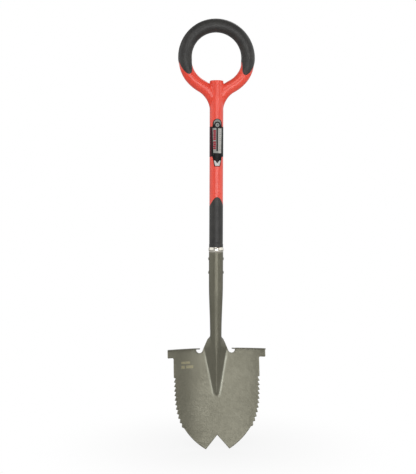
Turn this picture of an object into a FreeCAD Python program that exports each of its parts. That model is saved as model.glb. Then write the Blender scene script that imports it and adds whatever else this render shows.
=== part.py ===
import FreeCAD, Part
import Sketcher
import math
import os

from FreeCAD import Placement, Rotation, Vector

# Round point digging shovel with an O-ring handle, in millimetres, +Z up.
# The tool stands upright on the tips of its blade. The origin is on the ground at the middle of
# the tool's box, and the concave face of the blade looks along -Y. Every sub-part is modelled
# about the shaft's own axis, and its Placement then moves it back by shaft_setback.

DIMENSIONS = {
    # the frame
    "shaft_setback": (11.1, "shaft axis behind the middle of the tool's box"),
    # hand ring
    "ring_height": (1019.2, "centre of the hand ring above the tips"),
    "ring_bend_radius": (83.1, "centreline of the ring tube"),
    "ring_tube_radius": (16.4, "rigid part of the ring tube"),
    "ring_core_radius": (15.4, "ring tube under the soft grip"),
    "ring_grip_radius": (17.7, "outside of the soft ring grip"),
    "ring_grip_drop": (4.5, "degrees below horizontal where the ring grip ends at its sides"),
    "ring_tongue_length": (40.0, "length of the ring grip's tongues along the ring"),
    "ring_tongue_fullness": (2.6, "how blunt those tongues are: 2 is a round end, more is squarer"),
    # yoke and shaft
    "arm_bend_radius": (76.7, "bend of the two arms between ring and shaft"),
    "shaft_radius": (17.75, "moulded shaft"),
    "boss_top": (959.1, "flat top of the boss inside the ring"),
    "boss_chamfer": (1.2, "edge of the boss"),
    "socket_clearance": (0.15, "gap between the moulded tenon and the socket bore"),
    "tenon_bottom": (436.0, "lower end of the moulding inside the socket"),
    # lower grip
    "grip_bottom": (524.8, "lower end of the shaft grip"),
    "grip_side_top": (633.4, "upper end of the shaft grip at its sides"),
    "grip_tongue_height": (23.0, "tongues at the front and back above that"),
    "grip_core_radius": (15.9, "moulding under the shaft grip"),
    "grip_radius": (17.95, "outside of the shaft grip"),
    "grip_flare": (0.4, "extra radius of the grip's bead at its lower end"),
    "grip_bead_height": (12.0, "height of that bead"),
    # collar
    "collar_bottom": (511.9, "lower end of the collar"),
    "collar_top": (524.6, "upper end of the collar"),
    "collar_radius": (19.5, "widest radius of the collar"),
    "collar_crown": (1.0, "how far the collar bows out between its edges"),
    "collar_bore": (16.8, "bore of the collar"),
    # steel core, its dowel and its plug
    "core_radius": (12.7, "outside of the steel core tube"),
    "core_wall": (1.6, "wall of the steel core tube"),
    "core_top": (951.0, "upper end of the core tube"),
    "plug_top": (958.5, "top of the plug in the boss"),
    "plug_dish": (0.8, "chamfer of the plug"),
    "dowel_top": (518.0, "upper end of the dowel inside the core tube"),
    "dowel_chamfer": (1.5, "edges of the dowel"),
    # rivets
    "rivet_upper": (494.4, "height of the upper rivet"),
    "rivet_lower": (458.4, "height of the lower rivet"),
    "rivet_shank_radius": (3.0, "shank of a rivet"),
    "rivet_clearance": (0.1, "gap round a rivet's shank"),
    "rivet_head_radius": (5.4, "head of a rivet"),
    "rivet_head_height": (1.8, "height of a rivet's head above the socket"),
    # label
    "label_thickness": (0.3, "film wrapped round the shaft"),
    "label_band_bottom": (761.1, "lower edge of the band that goes all round"),
    "label_band_top": (839.1, "upper edge of the band that goes all round"),
    "label_top": (859.4, "top of the round badge on the front"),
    "label_bottom": (735.5, "lower end of the point on the front"),
    "label_badge_radius": (11.8, "round badge at the top of the label"),
    "label_point_width": (15.4, "width of the label's lower end"),
    "label_front_width": (24.9, "width of the label's front where it leaves the band"),
    # steel blade: sheet and socket
    "sheet": (2.0, "thickness of the steel"),
    "socket_top": (511.7, "mouth of the socket"),
    "socket_mouth_radius": (18.8, "outside of the socket at its mouth"),
    "socket_body_radius": (18.6, "outside of the socket where its taper starts"),
    "socket_neck_radius": (15.2, "outside of the socket at the neck"),
    "socket_body_height": (432.0, "height where the taper starts"),
    "socket_neck_height": (300.0, "height where the taper ends"),
    "seam_gap": (1.2, "open seam at the back of the socket"),
    "seam_flare_width": (14.2, "half width of the seam where it opens into the blade"),
    "seam_flare_height": (58.0, "height over which it opens"),
    "neck_height": (294.0, "height where the neck opens into the blade"),
    # steel blade: plate
    "step_height": (258.6, "top of the foot steps"),
    "step_reach": (13.0, "how far the steps stand forward of the plate"),
    "step_corner": (5.0, "rounding of a step's front corners, seen from above"),
    "plate_setback": (7.2, "middle of the plate behind the shaft axis at the steps"),
    "plate_lift": (9.5, "degrees that the plate leans forward"),
    "plate_sweep_radius": (12000.0, "curve of the plate along its length"),
    "plate_dish_radius": (340.0, "curve of the plate across its width"),
    "plate_fade": (12.0, "height over which the plate turns upright above the steps"),
    # steel blade: ridge
    "ridge_end": (133.6, "lower end of the ridge"),
    "ridge_end_width": (7.8, "half width of the ridge at that end"),
    "ridge_widening": (0.1936, "growth of the half width for each mm of height"),
    "ridge_crest_radius": (3.2, "crest of the ridge, at mid sheet"),
    "ridge_foot_radius": (5.6, "hollow between ridge and plate, at mid sheet"),
    "neck_foot_radius": (6.0, "the same hollow at the neck"),
    "neck_foot_width": (20.3, "half width of the open neck at its top"),
    "ridge_round_height": (227.0, "height where the crest starts to widen into the neck"),
    # steel blade: outline
    "tab_half_width": (129.2, "half width over the steps"),
    "tab_bottom": (236.3, "lower edge of the tab at the end of each step"),
    "tab_fillet": (3.5, "corner between tab and blade"),
    "blade_half_width": (113.3, "half width of the blade"),
    "relief_radius": (8.9, "relief notch beside the neck"),
    "relief_x": (42.6, "centre of the relief notch from the axis"),
    "relief_height": (254.3, "centre of the relief notch above the tips"),
    "step_inner_end": (42.0, "inner end of each step from the axis"),
    "wing_top_width": (15.4, "half width of the neck wings at their top"),
    "wing_mid_width": (24.4, "half width of the neck wings at mid height"),
    "wing_mid_height": (273.5, "that mid height"),
    "teeth_top": (186.2, "top of the first tooth"),
    "tooth_pitch": (11.5, "spacing of the teeth"),
    "tooth_count": (11.0, "teeth on each side"),
    "tooth_depth": (4.8, "depth of a tooth"),
    "tooth_return": (2.2, "height of a tooth's short side"),
    "taper_amount": (19.4, "how much the toothed side comes in over its length"),
    "taper_power": (3.4, "how late along its length it does so"),
    "point_arc_top": (56.3, "height where the smooth edge starts"),
    "point_arc_width": (87.5, "half width there"),
    "point_arc_bulge": (4.7, "how far that edge bows out"),
    "tip_spacing": (31.0, "each tip from the axis"),
    "tip_notch_height": (35.0, "top of the V notch between the tips"),
}

doc = FreeCAD.newDocument("shovel")


# ---- driving dimensions -----------------------------------------------------------------------

def make_sheet():
    """The spreadsheet that holds every driving dimension."""
    cells = doc.addObject("Spreadsheet::Sheet", "dims")
    for row, (alias, (value, note)) in enumerate(DIMENSIONS.items(), start=1):
        cells.set(f"A{row}", alias)
        cells.set(f"B{row}", str(value))
        cells.set(f"C{row}", note)
        cells.setAlias(f"B{row}", alias)
    doc.recompute()
    return cells


sheet = make_sheet()


def dim(alias):
    """A driving dimension, read from the spreadsheet."""
    return float(sheet.get(alias))


# ---- small builders ---------------------------------------------------------------------------

def bound_object(kind, name, **expressions):
    """A document object whose properties follow the spreadsheet's cells."""
    obj = doc.addObject(kind, name)
    for prop, text in expressions.items():
        obj.setExpression(prop, text)
    return obj


def upright_cylinder(name, radius, bottom, top):
    """A cylinder on the shaft's axis between two heights."""
    obj = bound_object("Part::Cylinder", name, Radius=radius, Height=f"({top}) - ({bottom})")
    obj.setExpression("Placement.Base.z", bottom)
    return obj


def standing_torus(name, bend_radius, tube_radius, centre, start=0.0, sweep=360.0):
    """A ring, or part of one, that stands in the XZ plane; start is degrees from +X towards +Z."""
    obj = bound_object("Part::Torus", name, Radius1=bend_radius, Radius2=tube_radius)
    obj.Angle3 = sweep
    turn = Rotation(Vector(1, 0, 0), 90) * Rotation(Vector(0, 0, 1), start)
    obj.Placement = Placement(centre, turn)
    return obj


def cut(name, base, tool):
    obj = doc.addObject("Part::Cut", name)
    obj.Base = base
    obj.Tool = tool
    return obj


def common(name, first, second):
    obj = doc.addObject("Part::Common", name)
    obj.Base = first
    obj.Tool = second
    return obj


def fuse(name, shapes):
    obj = doc.addObject("Part::MultiFuse", name)
    obj.Shapes = shapes
    return obj


def shape_object(name, shape):
    obj = doc.addObject("Part::Feature", name)
    obj.Shape = shape
    return obj


def line(first, second):
    return Part.LineSegment(first, second).toShape()


def arc(first, middle, last):
    return Part.Arc(first, middle, last).toShape()


def spline(points):
    """A smooth curve through the points."""
    curve = Part.BSplineCurve()
    curve.interpolate(points)
    return curve.toShape()


def polyline(points):
    return [line(first, second) for first, second in zip(points, points[1:])]


def prism(edges, direction):
    """A solid swept from a closed loop of edges."""
    return Part.Face(Part.Wire(edges)).extrude(direction)


def turned_body(name, corners, bow_radius=None, drawn=None, bow=0.0):
    """A PartDesign body turned about the shaft's axis from a closed polygon.

    Each corner is a pair of expressions: distance from the axis, and height. With a bow_radius the
    second side, the outer one, is an arc that bows outward. The corners are first drawn where
    drawn says, and the arc with that much bow, before the constraints move them into place.
    """
    body = doc.addObject("PartDesign::Body", name)
    plane = next(item for item in body.Origin.OriginFeatures if item.Role == "XZ_Plane")
    profile = body.newObject("Sketcher::SketchObject", name + "_profile")
    profile.AttachmentSupport = [(plane, "")]
    profile.MapMode = "FlatFace"
    count = len(corners)
    rough = drawn or [Vector(10.0 + i, 10.0 + i * i, 0) for i in range(count)]
    for i in range(count):
        start, end = rough[i], rough[(i + 1) % count]
        if i == 1 and bow_radius:
            profile.addGeometry(Part.Arc(start, (start + end) / 2 + Vector(bow, 0, 0), end))
        else:
            profile.addGeometry(Part.LineSegment(start, end))
    for i in range(count):
        profile.addConstraint(Sketcher.Constraint("Coincident", i, 2, (i + 1) % count, 1))
    for i, (radius, height) in enumerate(corners):
        for kind, value, text in (("DistanceX", rough[i].x, radius), ("DistanceY", rough[i].y, height)):
            index = profile.addConstraint(Sketcher.Constraint(kind, -1, 1, i, 1, value))
            profile.setExpression(f"Constraints[{index}]", text)
    if bow_radius:
        index = profile.addConstraint(Sketcher.Constraint("Radius", 1, profile.Geometry[1].Radius))
        profile.setExpression(f"Constraints[{index}]", bow_radius)
    turned = body.newObject("PartDesign::Revolution", name + "_turned")
    turned.Profile = profile
    turned.ReferenceAxis = (profile, ["V_Axis"])
    turned.Angle = 360.0
    doc.recompute()
    return body


# ---- zones that the soft grips fill, as prisms through the tool from front to back -------------

# Cutting shapes are wider than what they cut, by this factor.
OVERSIZE = 1.3
ZONE_DEPTH = 30.0
TONGUE_STEPS = 14


def ring_point(radius, degrees):
    """A point in the front plane of the zones, at an angle round the hand ring."""
    angle = math.radians(degrees)
    x = radius * math.cos(angle)
    z = dim("ring_height") + radius * math.sin(angle)
    return Vector(x, -ZONE_DEPTH, z)


def ring_tongue(side):
    """The rounded end of the ring grip, from the ring's outer edge to its inner edge.

    side is 0 for the right end of the grip, and 180 for the left end.
    """
    bend = dim("ring_bend_radius")
    reach = math.degrees(dim("ring_tongue_length") / bend)
    points = []
    for i in range(TONGUE_STEPS + 1):
        turn = math.pi * i / TONGUE_STEPS
        drop = dim("ring_grip_drop") + reach * (1.0 - abs(math.cos(turn)) ** dim("ring_tongue_fullness"))
        angle = 180.0 + drop if side == 180 else -drop
        points.append(ring_point(bend + dim("ring_grip_radius") * math.cos(turn), angle))
    return spline(points)


def make_ring_zone():
    """The part of the hand ring that the soft grip covers."""
    drop = dim("ring_grip_drop")
    bend = dim("ring_bend_radius")
    tube = dim("ring_grip_radius")
    outer, inner = bend + 2 * tube, bend - 2 * tube
    edges = [
        arc(ring_point(outer, -drop), ring_point(outer, 90), ring_point(outer, 180 + drop)),
        line(ring_point(outer, 180 + drop), ring_point(bend + tube, 180 + drop)),
        ring_tongue(180),
        line(ring_point(bend - tube, 180 + drop), ring_point(inner, 180 + drop)),
        arc(ring_point(inner, 180 + drop), ring_point(inner, 90), ring_point(inner, -drop)),
        line(ring_point(inner, -drop), ring_point(bend - tube, -drop)),
        ring_tongue(0),
        line(ring_point(bend + tube, -drop), ring_point(outer, -drop)),
    ]
    return shape_object("ring_zone", prism(edges, Vector(0, 2 * ZONE_DEPTH, 0)))


def make_shaft_zone():
    """The part of the shaft that the lower grip covers: a tongue rises at the front and back."""
    bottom, side_top = dim("grip_bottom"), dim("grip_side_top")
    half = dim("grip_radius")
    peak = side_top + 2 * dim("grip_tongue_height")
    arch = Part.BezierCurve()
    arch.setPoles([Vector(x, -ZONE_DEPTH, z) for x, z in ((half, side_top), (0, peak), (-half, side_top))])
    corners = [(-half, side_top), (-ZONE_DEPTH, side_top), (-ZONE_DEPTH, bottom)]
    corners += [(ZONE_DEPTH, bottom), (ZONE_DEPTH, side_top), (half, side_top)]
    edges = [arch.toShape()] + polyline([Vector(x, -ZONE_DEPTH, z) for x, z in corners])
    return shape_object("shaft_zone", prism(edges, Vector(0, 2 * ZONE_DEPTH, 0)))


# ---- handle: red moulding, soft grips, steel core, plug and dowel -----------------------------

def arm_centre_drop():
    """How far the arms' bend centres lie below the ring's centre, so that the bends run smoothly."""
    reach = dim("ring_bend_radius") + dim("arm_bend_radius")
    return math.sqrt(reach ** 2 - dim("arm_bend_radius") ** 2)


def make_ring_frame():
    """The rigid hand ring and the two arms that bring it down into the shaft."""
    arm = dim("arm_bend_radius")
    drop = arm_centre_drop()
    lean = math.degrees(math.atan2(drop, arm))
    bend, tube = "dims.ring_bend_radius", "dims.ring_tube_radius"
    centre = Vector(0, 0, dim("ring_height"))
    ring = standing_torus("ring_arc", bend, tube, centre, -lean, 180.0 + 2 * lean)
    pieces = [ring]
    for name, side, start in (("left_arm", -1, 0.0), ("right_arm", 1, 180.0 - lean)):
        foot = Vector(side * arm, 0, dim("ring_height") - drop)
        pieces.append(standing_torus(name, "dims.arm_bend_radius", tube, foot, start, lean))
    return pieces


def make_handle_moulding(ring_zone, shaft_zone, rivet_holes):
    """Ring, arms, boss, shaft sleeve and tenon: one red moulding over the steel core."""
    tenon_top_radius = "dims.socket_mouth_radius - dims.sheet - dims.socket_clearance"
    tenon_radius = "dims.socket_body_radius - dims.sheet - dims.socket_clearance"
    column = turned_body("moulded_column", [
        ("0", "dims.tenon_bottom"),
        (tenon_radius, "dims.tenon_bottom"),
        (tenon_top_radius, "dims.socket_top"),
        (tenon_top_radius, "dims.grip_bottom"),
        ("dims.shaft_radius", "dims.grip_bottom"),
        ("dims.shaft_radius", "dims.boss_top - dims.boss_chamfer"),
        ("dims.shaft_radius - dims.boss_chamfer", "dims.boss_top"),
        ("0", "dims.boss_top"),
    ])
    frame = fuse("moulded_frame", [column] + make_ring_frame())
    around_ring = cut(
        "ring_recess_tube",
        standing_torus("ring_recess_outside", "dims.ring_bend_radius", f"{OVERSIZE} * dims.ring_grip_radius",
                       Vector(0, 0, dim("ring_height"))),
        standing_torus("ring_recess_core", "dims.ring_bend_radius", "dims.ring_core_radius",
                       Vector(0, 0, dim("ring_height"))),
    )
    ring_recess = common("ring_recess", around_ring, ring_zone)
    above_tongue = "dims.grip_side_top + 2 * dims.grip_tongue_height"
    around_shaft = cut(
        "shaft_recess_tube",
        upright_cylinder("shaft_recess_outside", f"{OVERSIZE} * dims.grip_radius", "dims.grip_bottom",
                         above_tongue),
        upright_cylinder("shaft_recess_core", "dims.grip_core_radius", "dims.grip_bottom", above_tongue),
    )
    shaft_recess = common("shaft_recess", around_shaft, shaft_zone)
    bore = upright_cylinder("core_bore", "dims.core_radius", "dims.tenon_bottom - 1", "dims.boss_top + 1")
    hollows = fuse("moulding_hollows", [ring_recess, shaft_recess, bore, rivet_holes])
    return cut("handle_moulding", frame, hollows)


def make_ring_grip(ring_zone):
    """The soft cover over the upper part of the hand ring."""
    centre = Vector(0, 0, dim("ring_height"))
    outside = standing_torus("ring_grip_outside", "dims.ring_bend_radius", "dims.ring_grip_radius", centre)
    inside = standing_torus("ring_grip_inside", "dims.ring_bend_radius", "dims.ring_core_radius", centre)
    return common("ring_grip", cut("ring_grip_tube", outside, inside), ring_zone)


def make_lower_grip(shaft_zone):
    """The soft cover over the lower end of the shaft, with a bead at its foot."""
    sleeve = turned_body("lower_grip_sleeve", [
        ("dims.grip_core_radius", "dims.grip_bottom"),
        ("dims.grip_radius + dims.grip_flare", "dims.grip_bottom"),
        ("dims.grip_radius + dims.grip_flare", "dims.grip_bottom + dims.grip_bead_height"),
        ("dims.grip_radius", "dims.grip_bottom + 1.2 * dims.grip_bead_height"),
        ("dims.grip_radius", "dims.grip_side_top + dims.grip_tongue_height + 1"),
        ("dims.grip_core_radius", "dims.grip_side_top + dims.grip_tongue_height + 1"),
    ])
    return common("lower_grip", sleeve, shaft_zone)


def make_core_tube(rivet_holes):
    """The steel tube inside the moulding."""
    tube = turned_body("core_tube_blank", [
        ("dims.core_radius - dims.core_wall", "dims.tenon_bottom"),
        ("dims.core_radius", "dims.tenon_bottom"),
        ("dims.core_radius", "dims.core_top"),
        ("dims.core_radius - dims.core_wall", "dims.core_top"),
    ])
    return cut("core_tube", tube, rivet_holes)


def make_core_dowel(rivet_holes):
    """The plug inside the core tube that keeps the rivets from crushing it."""
    radius = "dims.core_radius - dims.core_wall"
    blank = turned_body("core_dowel_blank", [
        ("0", "dims.tenon_bottom"),
        (f"{radius} - dims.dowel_chamfer", "dims.tenon_bottom"),
        (radius, "dims.tenon_bottom + dims.dowel_chamfer"),
        (radius, "dims.dowel_top - dims.dowel_chamfer"),
        (f"{radius} - dims.dowel_chamfer", "dims.dowel_top"),
        ("0", "dims.dowel_top"),
    ])
    return cut("core_dowel", blank, rivet_holes)


def make_top_plug():
    """The round plug that closes the boss above the core tube."""
    return turned_body("top_plug", [
        ("0", "dims.core_top"),
        ("dims.core_radius", "dims.core_top"),
        ("dims.core_radius", "dims.plug_top - dims.plug_dish"),
        ("dims.core_radius - dims.plug_dish", "dims.plug_top"),
        ("0", "dims.plug_top"),
    ])


def make_collar():
    """The polished ring between the lower grip and the socket, crowned on the outside."""
    edge_radius = "dims.collar_radius - dims.collar_crown"
    half = "((dims.collar_top - dims.collar_bottom) / 2)"
    crown = f"({half} * {half} + dims.collar_crown * dims.collar_crown) / (2 * dims.collar_crown)"
    inner, outer = dim("collar_bore"), dim("collar_radius") - dim("collar_crown")
    low, high = dim("collar_bottom"), dim("collar_top")
    drawn = [Vector(inner, low, 0), Vector(outer, low, 0), Vector(outer, high, 0), Vector(inner, high, 0)]
    return turned_body("collar", [
        ("dims.collar_bore", "dims.collar_bottom"),
        (edge_radius, "dims.collar_bottom"),
        (edge_radius, "dims.collar_top"),
        ("dims.collar_bore", "dims.collar_top"),
    ], bow_radius=crown, drawn=drawn, bow=dim("collar_crown"))


# ---- rivets -----------------------------------------------------------------------------------

def cross_cylinder(name, radius, half_length, height):
    """A cylinder along X through the shaft's axis."""
    obj = bound_object("Part::Cylinder", name, Radius=radius, Height=f"2 * ({half_length})")
    obj.Placement = Placement(Vector(), Rotation(Vector(0, 1, 0), 90))
    obj.setExpression("Placement.Base.x", f"-({half_length})")
    obj.setExpression("Placement.Base.z", height)
    return obj


def make_rivet_holes():
    radius = "dims.rivet_shank_radius + dims.rivet_clearance"
    return fuse("rivet_holes", [
        cross_cylinder("upper_hole", radius, "1.5 * dims.socket_mouth_radius", "dims.rivet_upper"),
        cross_cylinder("lower_hole", radius, "1.5 * dims.socket_mouth_radius", "dims.rivet_lower"),
    ])


def make_rivet(name, height):
    """One rivet: a shank across the socket with a domed head seated on each side of it."""
    half_length = "dims.socket_mouth_radius + dims.rivet_head_height / 5"
    shank = cross_cylinder(name + "_shank", "dims.rivet_shank_radius", half_length, height)
    wide, tall = "dims.rivet_head_radius", f"({OVERSIZE} * dims.rivet_head_height)"
    ball_radius = f"({wide} * {wide} + {tall} * {tall}) / (2 * {tall})"
    balls = []
    for side, sign in (("left", "-1"), ("right", "1")):
        ball = bound_object("Part::Sphere", f"{name}_{side}_head", Radius=ball_radius)
        offset = f"dims.socket_mouth_radius + dims.rivet_head_height - {ball_radius}"
        ball.setExpression("Placement.Base.x", f"{sign} * ({offset})")
        ball.setExpression("Placement.Base.z", height)
        balls.append(ball)
    low, high = f"{height} - 2 * {wide}", f"{height} + 2 * {wide}"
    seat = upright_cylinder(name + "_seat", "dims.socket_mouth_radius", low, high)
    heads = cut(name + "_heads", fuse(name + "_balls", balls), seat)
    return fuse(name, [shank, heads])


def make_socket_rivets():
    """The two rivets that hold the handle in the socket."""
    both = doc.addObject("Part::Compound", "socket_rivets")
    both.Links = [make_rivet("rivet_a", "dims.rivet_upper"), make_rivet("rivet_b", "dims.rivet_lower")]
    return both


# ---- label ------------------------------------------------------------------------------------

def make_shaft_label():
    """A film wrapped round the shaft, with a round badge above and a blunt point below on the front."""
    inner = "dims.shaft_radius"
    outer = "dims.shaft_radius + dims.label_thickness"
    film = cut(
        "label_film",
        upright_cylinder("label_outside", outer, "dims.label_bottom", "dims.label_top"),
        upright_cylinder("label_inside", inner, "dims.label_bottom", "dims.label_top"),
    )
    band = upright_cylinder("label_band", f"{OVERSIZE} * dims.shaft_radius", "dims.label_band_bottom",
                            "dims.label_band_top")
    front = -ZONE_DEPTH
    badge = dim("label_badge_radius")
    badge_height = dim("label_top") - badge
    side = dim("label_front_width") / 2
    point = dim("label_point_width") / 2
    lap = 1.0
    high, low = dim("label_band_top") - lap, dim("label_band_bottom") + lap
    corners = [(-badge, badge_height), (-side, high), (-side, low), (-point, dim("label_bottom"))]
    corners += [(-x, z) for x, z in reversed(corners)]
    edges = polyline([Vector(x, front, z) for x, z in corners])
    edges.append(arc(Vector(badge, front, badge_height), Vector(0, front, dim("label_top")),
                     Vector(-badge, front, badge_height)))
    shield = shape_object("label_shield", prism(edges, Vector(0, ZONE_DEPTH, 0)))
    return common("shaft_label", film, fuse("label_outline", [band, shield]))


# ---- blade: the mid surface of the pressed sheet ----------------------------------------------
#
# At every height the sheet's section is a round crest, a straight flank, a round foot, and then
# the dished plate. At the neck the crest has the socket's own radius, so the flanks wrap round
# into the socket, and the feet become its wings.

def smooth(u):
    """0 to 1 with a level start and end."""
    u = max(0.0, min(1.0, u))
    return u * u * (3.0 - 2.0 * u)


def mix(a, b, u):
    return a + (b - a) * u


def plate_y(z):
    """Middle line of the plate: leans forward below the steps, turns upright above them."""
    slope = math.tan(math.radians(dim("plate_lift")))
    below = dim("step_height") - z
    if below >= 0.0:
        return dim("plate_setback") - slope * below - below ** 2 / (2 * dim("plate_sweep_radius"))
    fade = dim("plate_fade")
    above = min(-below, fade)
    return dim("plate_setback") + slope * (above - above ** 2 / (2 * fade))


def neck_share(z):
    """0 at the top of the plate, 1 where the neck meets the socket."""
    opening = dim("step_height") - dim("sheet")
    return smooth((z - opening) / (dim("neck_height") - opening))


def section_sizes(z):
    """Half width and height of the ridge, radius of its crest and of its feet, at mid sheet."""
    neck_radius = dim("socket_neck_radius") - dim("sheet") / 2
    rise = plate_y(z) + neck_radius
    tall = 0.5 * (rise + math.sqrt(rise ** 2 + 1.0))
    wide = dim("ridge_end_width") + dim("ridge_widening") * max(0.0, z - dim("ridge_end"))
    wide = mix(wide, dim("neck_foot_width"), neck_share(z))
    start = dim("ridge_round_height")
    rounding = smooth((z - start) / (dim("neck_height") - start))
    crest = mix(dim("ridge_crest_radius"), neck_radius, rounding)
    foot = mix(dim("ridge_foot_radius"), dim("neck_foot_radius"), rounding)
    return wide, tall, crest, foot


def ridge_point(along, wide, tall, crest, foot):
    """A point on one flank of the ridge; along runs from 0 on the crest to 1 at the plate."""
    both = crest + foot
    flank_angle = math.asin(min(1.0, both / math.hypot(wide, both - tall))) - math.atan2(both - tall, wide)
    flank = wide * math.cos(flank_angle) + (tall - both) * math.sin(flank_angle)
    crest_length = crest * flank_angle
    foot_length = foot * flank_angle
    run = along * (crest_length + flank + foot_length)
    if run <= crest_length:
        turn = run / crest
        return crest * math.sin(turn), crest * (1 - math.cos(turn))
    if run <= crest_length + flank:
        ahead = run - crest_length
        x = crest * math.sin(flank_angle) + ahead * math.cos(flank_angle)
        return x, crest * (1 - math.cos(flank_angle)) + ahead * math.sin(flank_angle)
    turn = (crest_length + flank + foot_length - run) / foot
    return wide - foot * math.sin(turn), tall - foot * (1 - math.cos(turn))


# The uncut sheet reaches beyond the tabs by this factor.
PAST_TABS = 1.06


def middle_point(column, z):
    """A point at mid sheet. column is 0 on the crest, 1 at the ridge's foot, 2 beyond the blade."""
    side = -1.0 if column < 0 else 1.0
    wide, tall, crest, foot = section_sizes(z)
    if abs(column) <= 1.0:
        x, y = ridge_point(abs(column), wide, tall, crest, foot)
    else:
        x = mix(wide, PAST_TABS * dim("tab_half_width"), abs(column) - 1.0)
        y = tall
    dish = (1.0 - neck_share(z)) * x ** 2 / (2 * dim("plate_dish_radius"))
    return Vector(side * x, plate_y(z) - tall + y - dish, z)


def face_point(column, z, offset):
    """A point of the sheet's front (positive offset) or back face."""
    across = middle_point(column + 1e-4, z) - middle_point(column - 1e-4, z)
    up = middle_point(column, z + 0.01) - middle_point(column, z - 0.01)
    return middle_point(column, z) + across.cross(up).normalize() * offset


def spread(start, end, count):
    """count + 1 values, evenly spaced."""
    return [mix(start, end, i / count) for i in range(count + 1)]


def make_sheet_solid():
    """The whole sheet of plate, ridge and neck before its outline is cut."""
    ridge_columns, plate_columns = 18, 6
    on_ridge = spread(0.0, 1.0, ridge_columns)[1:]
    on_plate = [1.0 + mix(f, math.sqrt(f), 0.4) for f in spread(0.0, 1.0, plate_columns)[1:]]
    one_side = on_ridge + on_plate
    columns = [-c for c in reversed(one_side)] + [0.0] + one_side
    # The rows are closer together round the ridge's end and through the neck.
    end, top = dim("ridge_end"), dim("step_height")
    close, gap, margin = 15.0, 7.0, 8.0
    rows = spread(-margin, end - close - gap, 7) + spread(end - close, end + close, 6)
    rows += spread(end + close + gap, top - close - gap, 7)
    rows += spread(top - close, dim("neck_height") + dim("sheet"), 10)
    faces = []
    for offset in (dim("sheet") / 2, -dim("sheet") / 2):
        surface = Part.BSplineSurface()
        surface.interpolate([[face_point(column, z, offset) for column in columns] for z in rows])
        faces.append(surface.toShape())
    rims = [Part.makeRuledSurface(a, b) for a, b in zip(faces[0].Edges, faces[1].Edges)]
    shell = Part.makeShell(faces + rims)
    shell.sewShape()
    solid = Part.makeSolid(shell)
    if solid.Volume < 0:
        solid.reverse()
    return solid


# ---- blade: outline ---------------------------------------------------------------------------

OUTLINE_Y = -110.0
OUTLINE_DEPTH = 160.0


def outline_point(x, z):
    return Vector(x, OUTLINE_Y, z)


def tooth_line(z):
    """Half width of the blade over the tips of its teeth."""
    length = dim("tooth_count") * dim("tooth_pitch")
    down = max(0.0, dim("teeth_top") - z) / length
    return dim("blade_half_width") - dim("taper_amount") * down ** dim("taper_power")


def neck_and_notch():
    """Wing of the neck, then the round relief notch up to the step."""
    x, z, radius = dim("relief_x"), dim("relief_height"), dim("relief_radius")
    top = dim("step_height")
    meeting = math.radians(190)
    wing_end = outline_point(x + radius * math.cos(meeting), z + radius * math.sin(meeting))
    notch_end = outline_point(x + math.sqrt(radius ** 2 - (top - z) ** 2), top)
    wing_top = outline_point(dim("wing_top_width"), dim("neck_height"))
    wing_middle = outline_point(dim("wing_mid_width"), dim("wing_mid_height"))
    return [
        line(outline_point(0, dim("neck_height")), wing_top),
        arc(wing_top, wing_middle, wing_end),
        arc(wing_end, outline_point(x, z - radius), notch_end),
    ]


def tab_and_side(start):
    """Step, tab and the plain upper part of the side."""
    tab, side, radius = dim("tab_half_width"), dim("blade_half_width"), dim("tab_fillet")
    bottom = dim("tab_bottom")
    corner = outline_point(side + radius, bottom)
    side_top = outline_point(side, bottom - radius)
    inset = radius * (1 - math.sqrt(0.5))
    edges = polyline([start, outline_point(tab, dim("step_height")), outline_point(tab, bottom), corner])
    edges.append(arc(corner, outline_point(side + inset, bottom - inset), side_top))
    edges.append(line(side_top, outline_point(side, dim("teeth_top"))))
    return edges


def teeth(start):
    """The saw teeth: each slopes out to its tip and returns with a short side."""
    points = [start]
    for i in range(int(dim("tooth_count"))):
        root = dim("teeth_top") - i * dim("tooth_pitch") - dim("tooth_return")
        tip = dim("teeth_top") - (i + 1) * dim("tooth_pitch")
        points.append(outline_point(tooth_line(root) - dim("tooth_depth"), root))
        points.append(outline_point(tooth_line(tip), tip))
    points.append(outline_point(dim("point_arc_width"), dim("point_arc_top")))
    return polyline(points)


def pointed_end(start):
    """The bowed edge down to a tip, then up into the V notch."""
    tip = outline_point(dim("tip_spacing"), 0)
    chord = start - tip
    bulge = chord.cross(Vector(0, 1, 0)).normalize() * dim("point_arc_bulge")
    middle = (start + tip) / 2 + (bulge if bulge.x > 0 else -bulge)
    return [arc(start, middle, tip), line(tip, outline_point(0, dim("tip_notch_height")))]


def end_of(edges):
    return edges[-1].lastVertex(True).Point


def make_outline_prism():
    """A prism through the blade with its outline in front view."""
    half = neck_and_notch()
    for stretch in (tab_and_side, teeth, pointed_end):
        half += stretch(end_of(half))
    right = Part.Wire(half)
    left = right.mirror(Vector(), Vector(1, 0, 0))
    return prism(Part.sortEdges(right.Edges + left.Edges)[0], Vector(0, OUTLINE_DEPTH, 0))


# ---- blade: socket and steps ------------------------------------------------------------------

# The socket runs this far down into the neck, and the seam is cut from just behind the axis.
SOCKET_LAP = 2.0
SEAM_FRONT = 2.0
SEAM_DEPTH = 30.0


def socket_radius(z):
    """Outside of the socket."""
    low, high = dim("socket_neck_height"), dim("socket_body_height")
    if z <= high:
        return mix(dim("socket_neck_radius"), dim("socket_body_radius"), smooth((z - low) / (high - low)))
    share = (z - high) / (dim("socket_top") - high)
    return mix(dim("socket_body_radius"), dim("socket_mouth_radius"), share)


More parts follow.
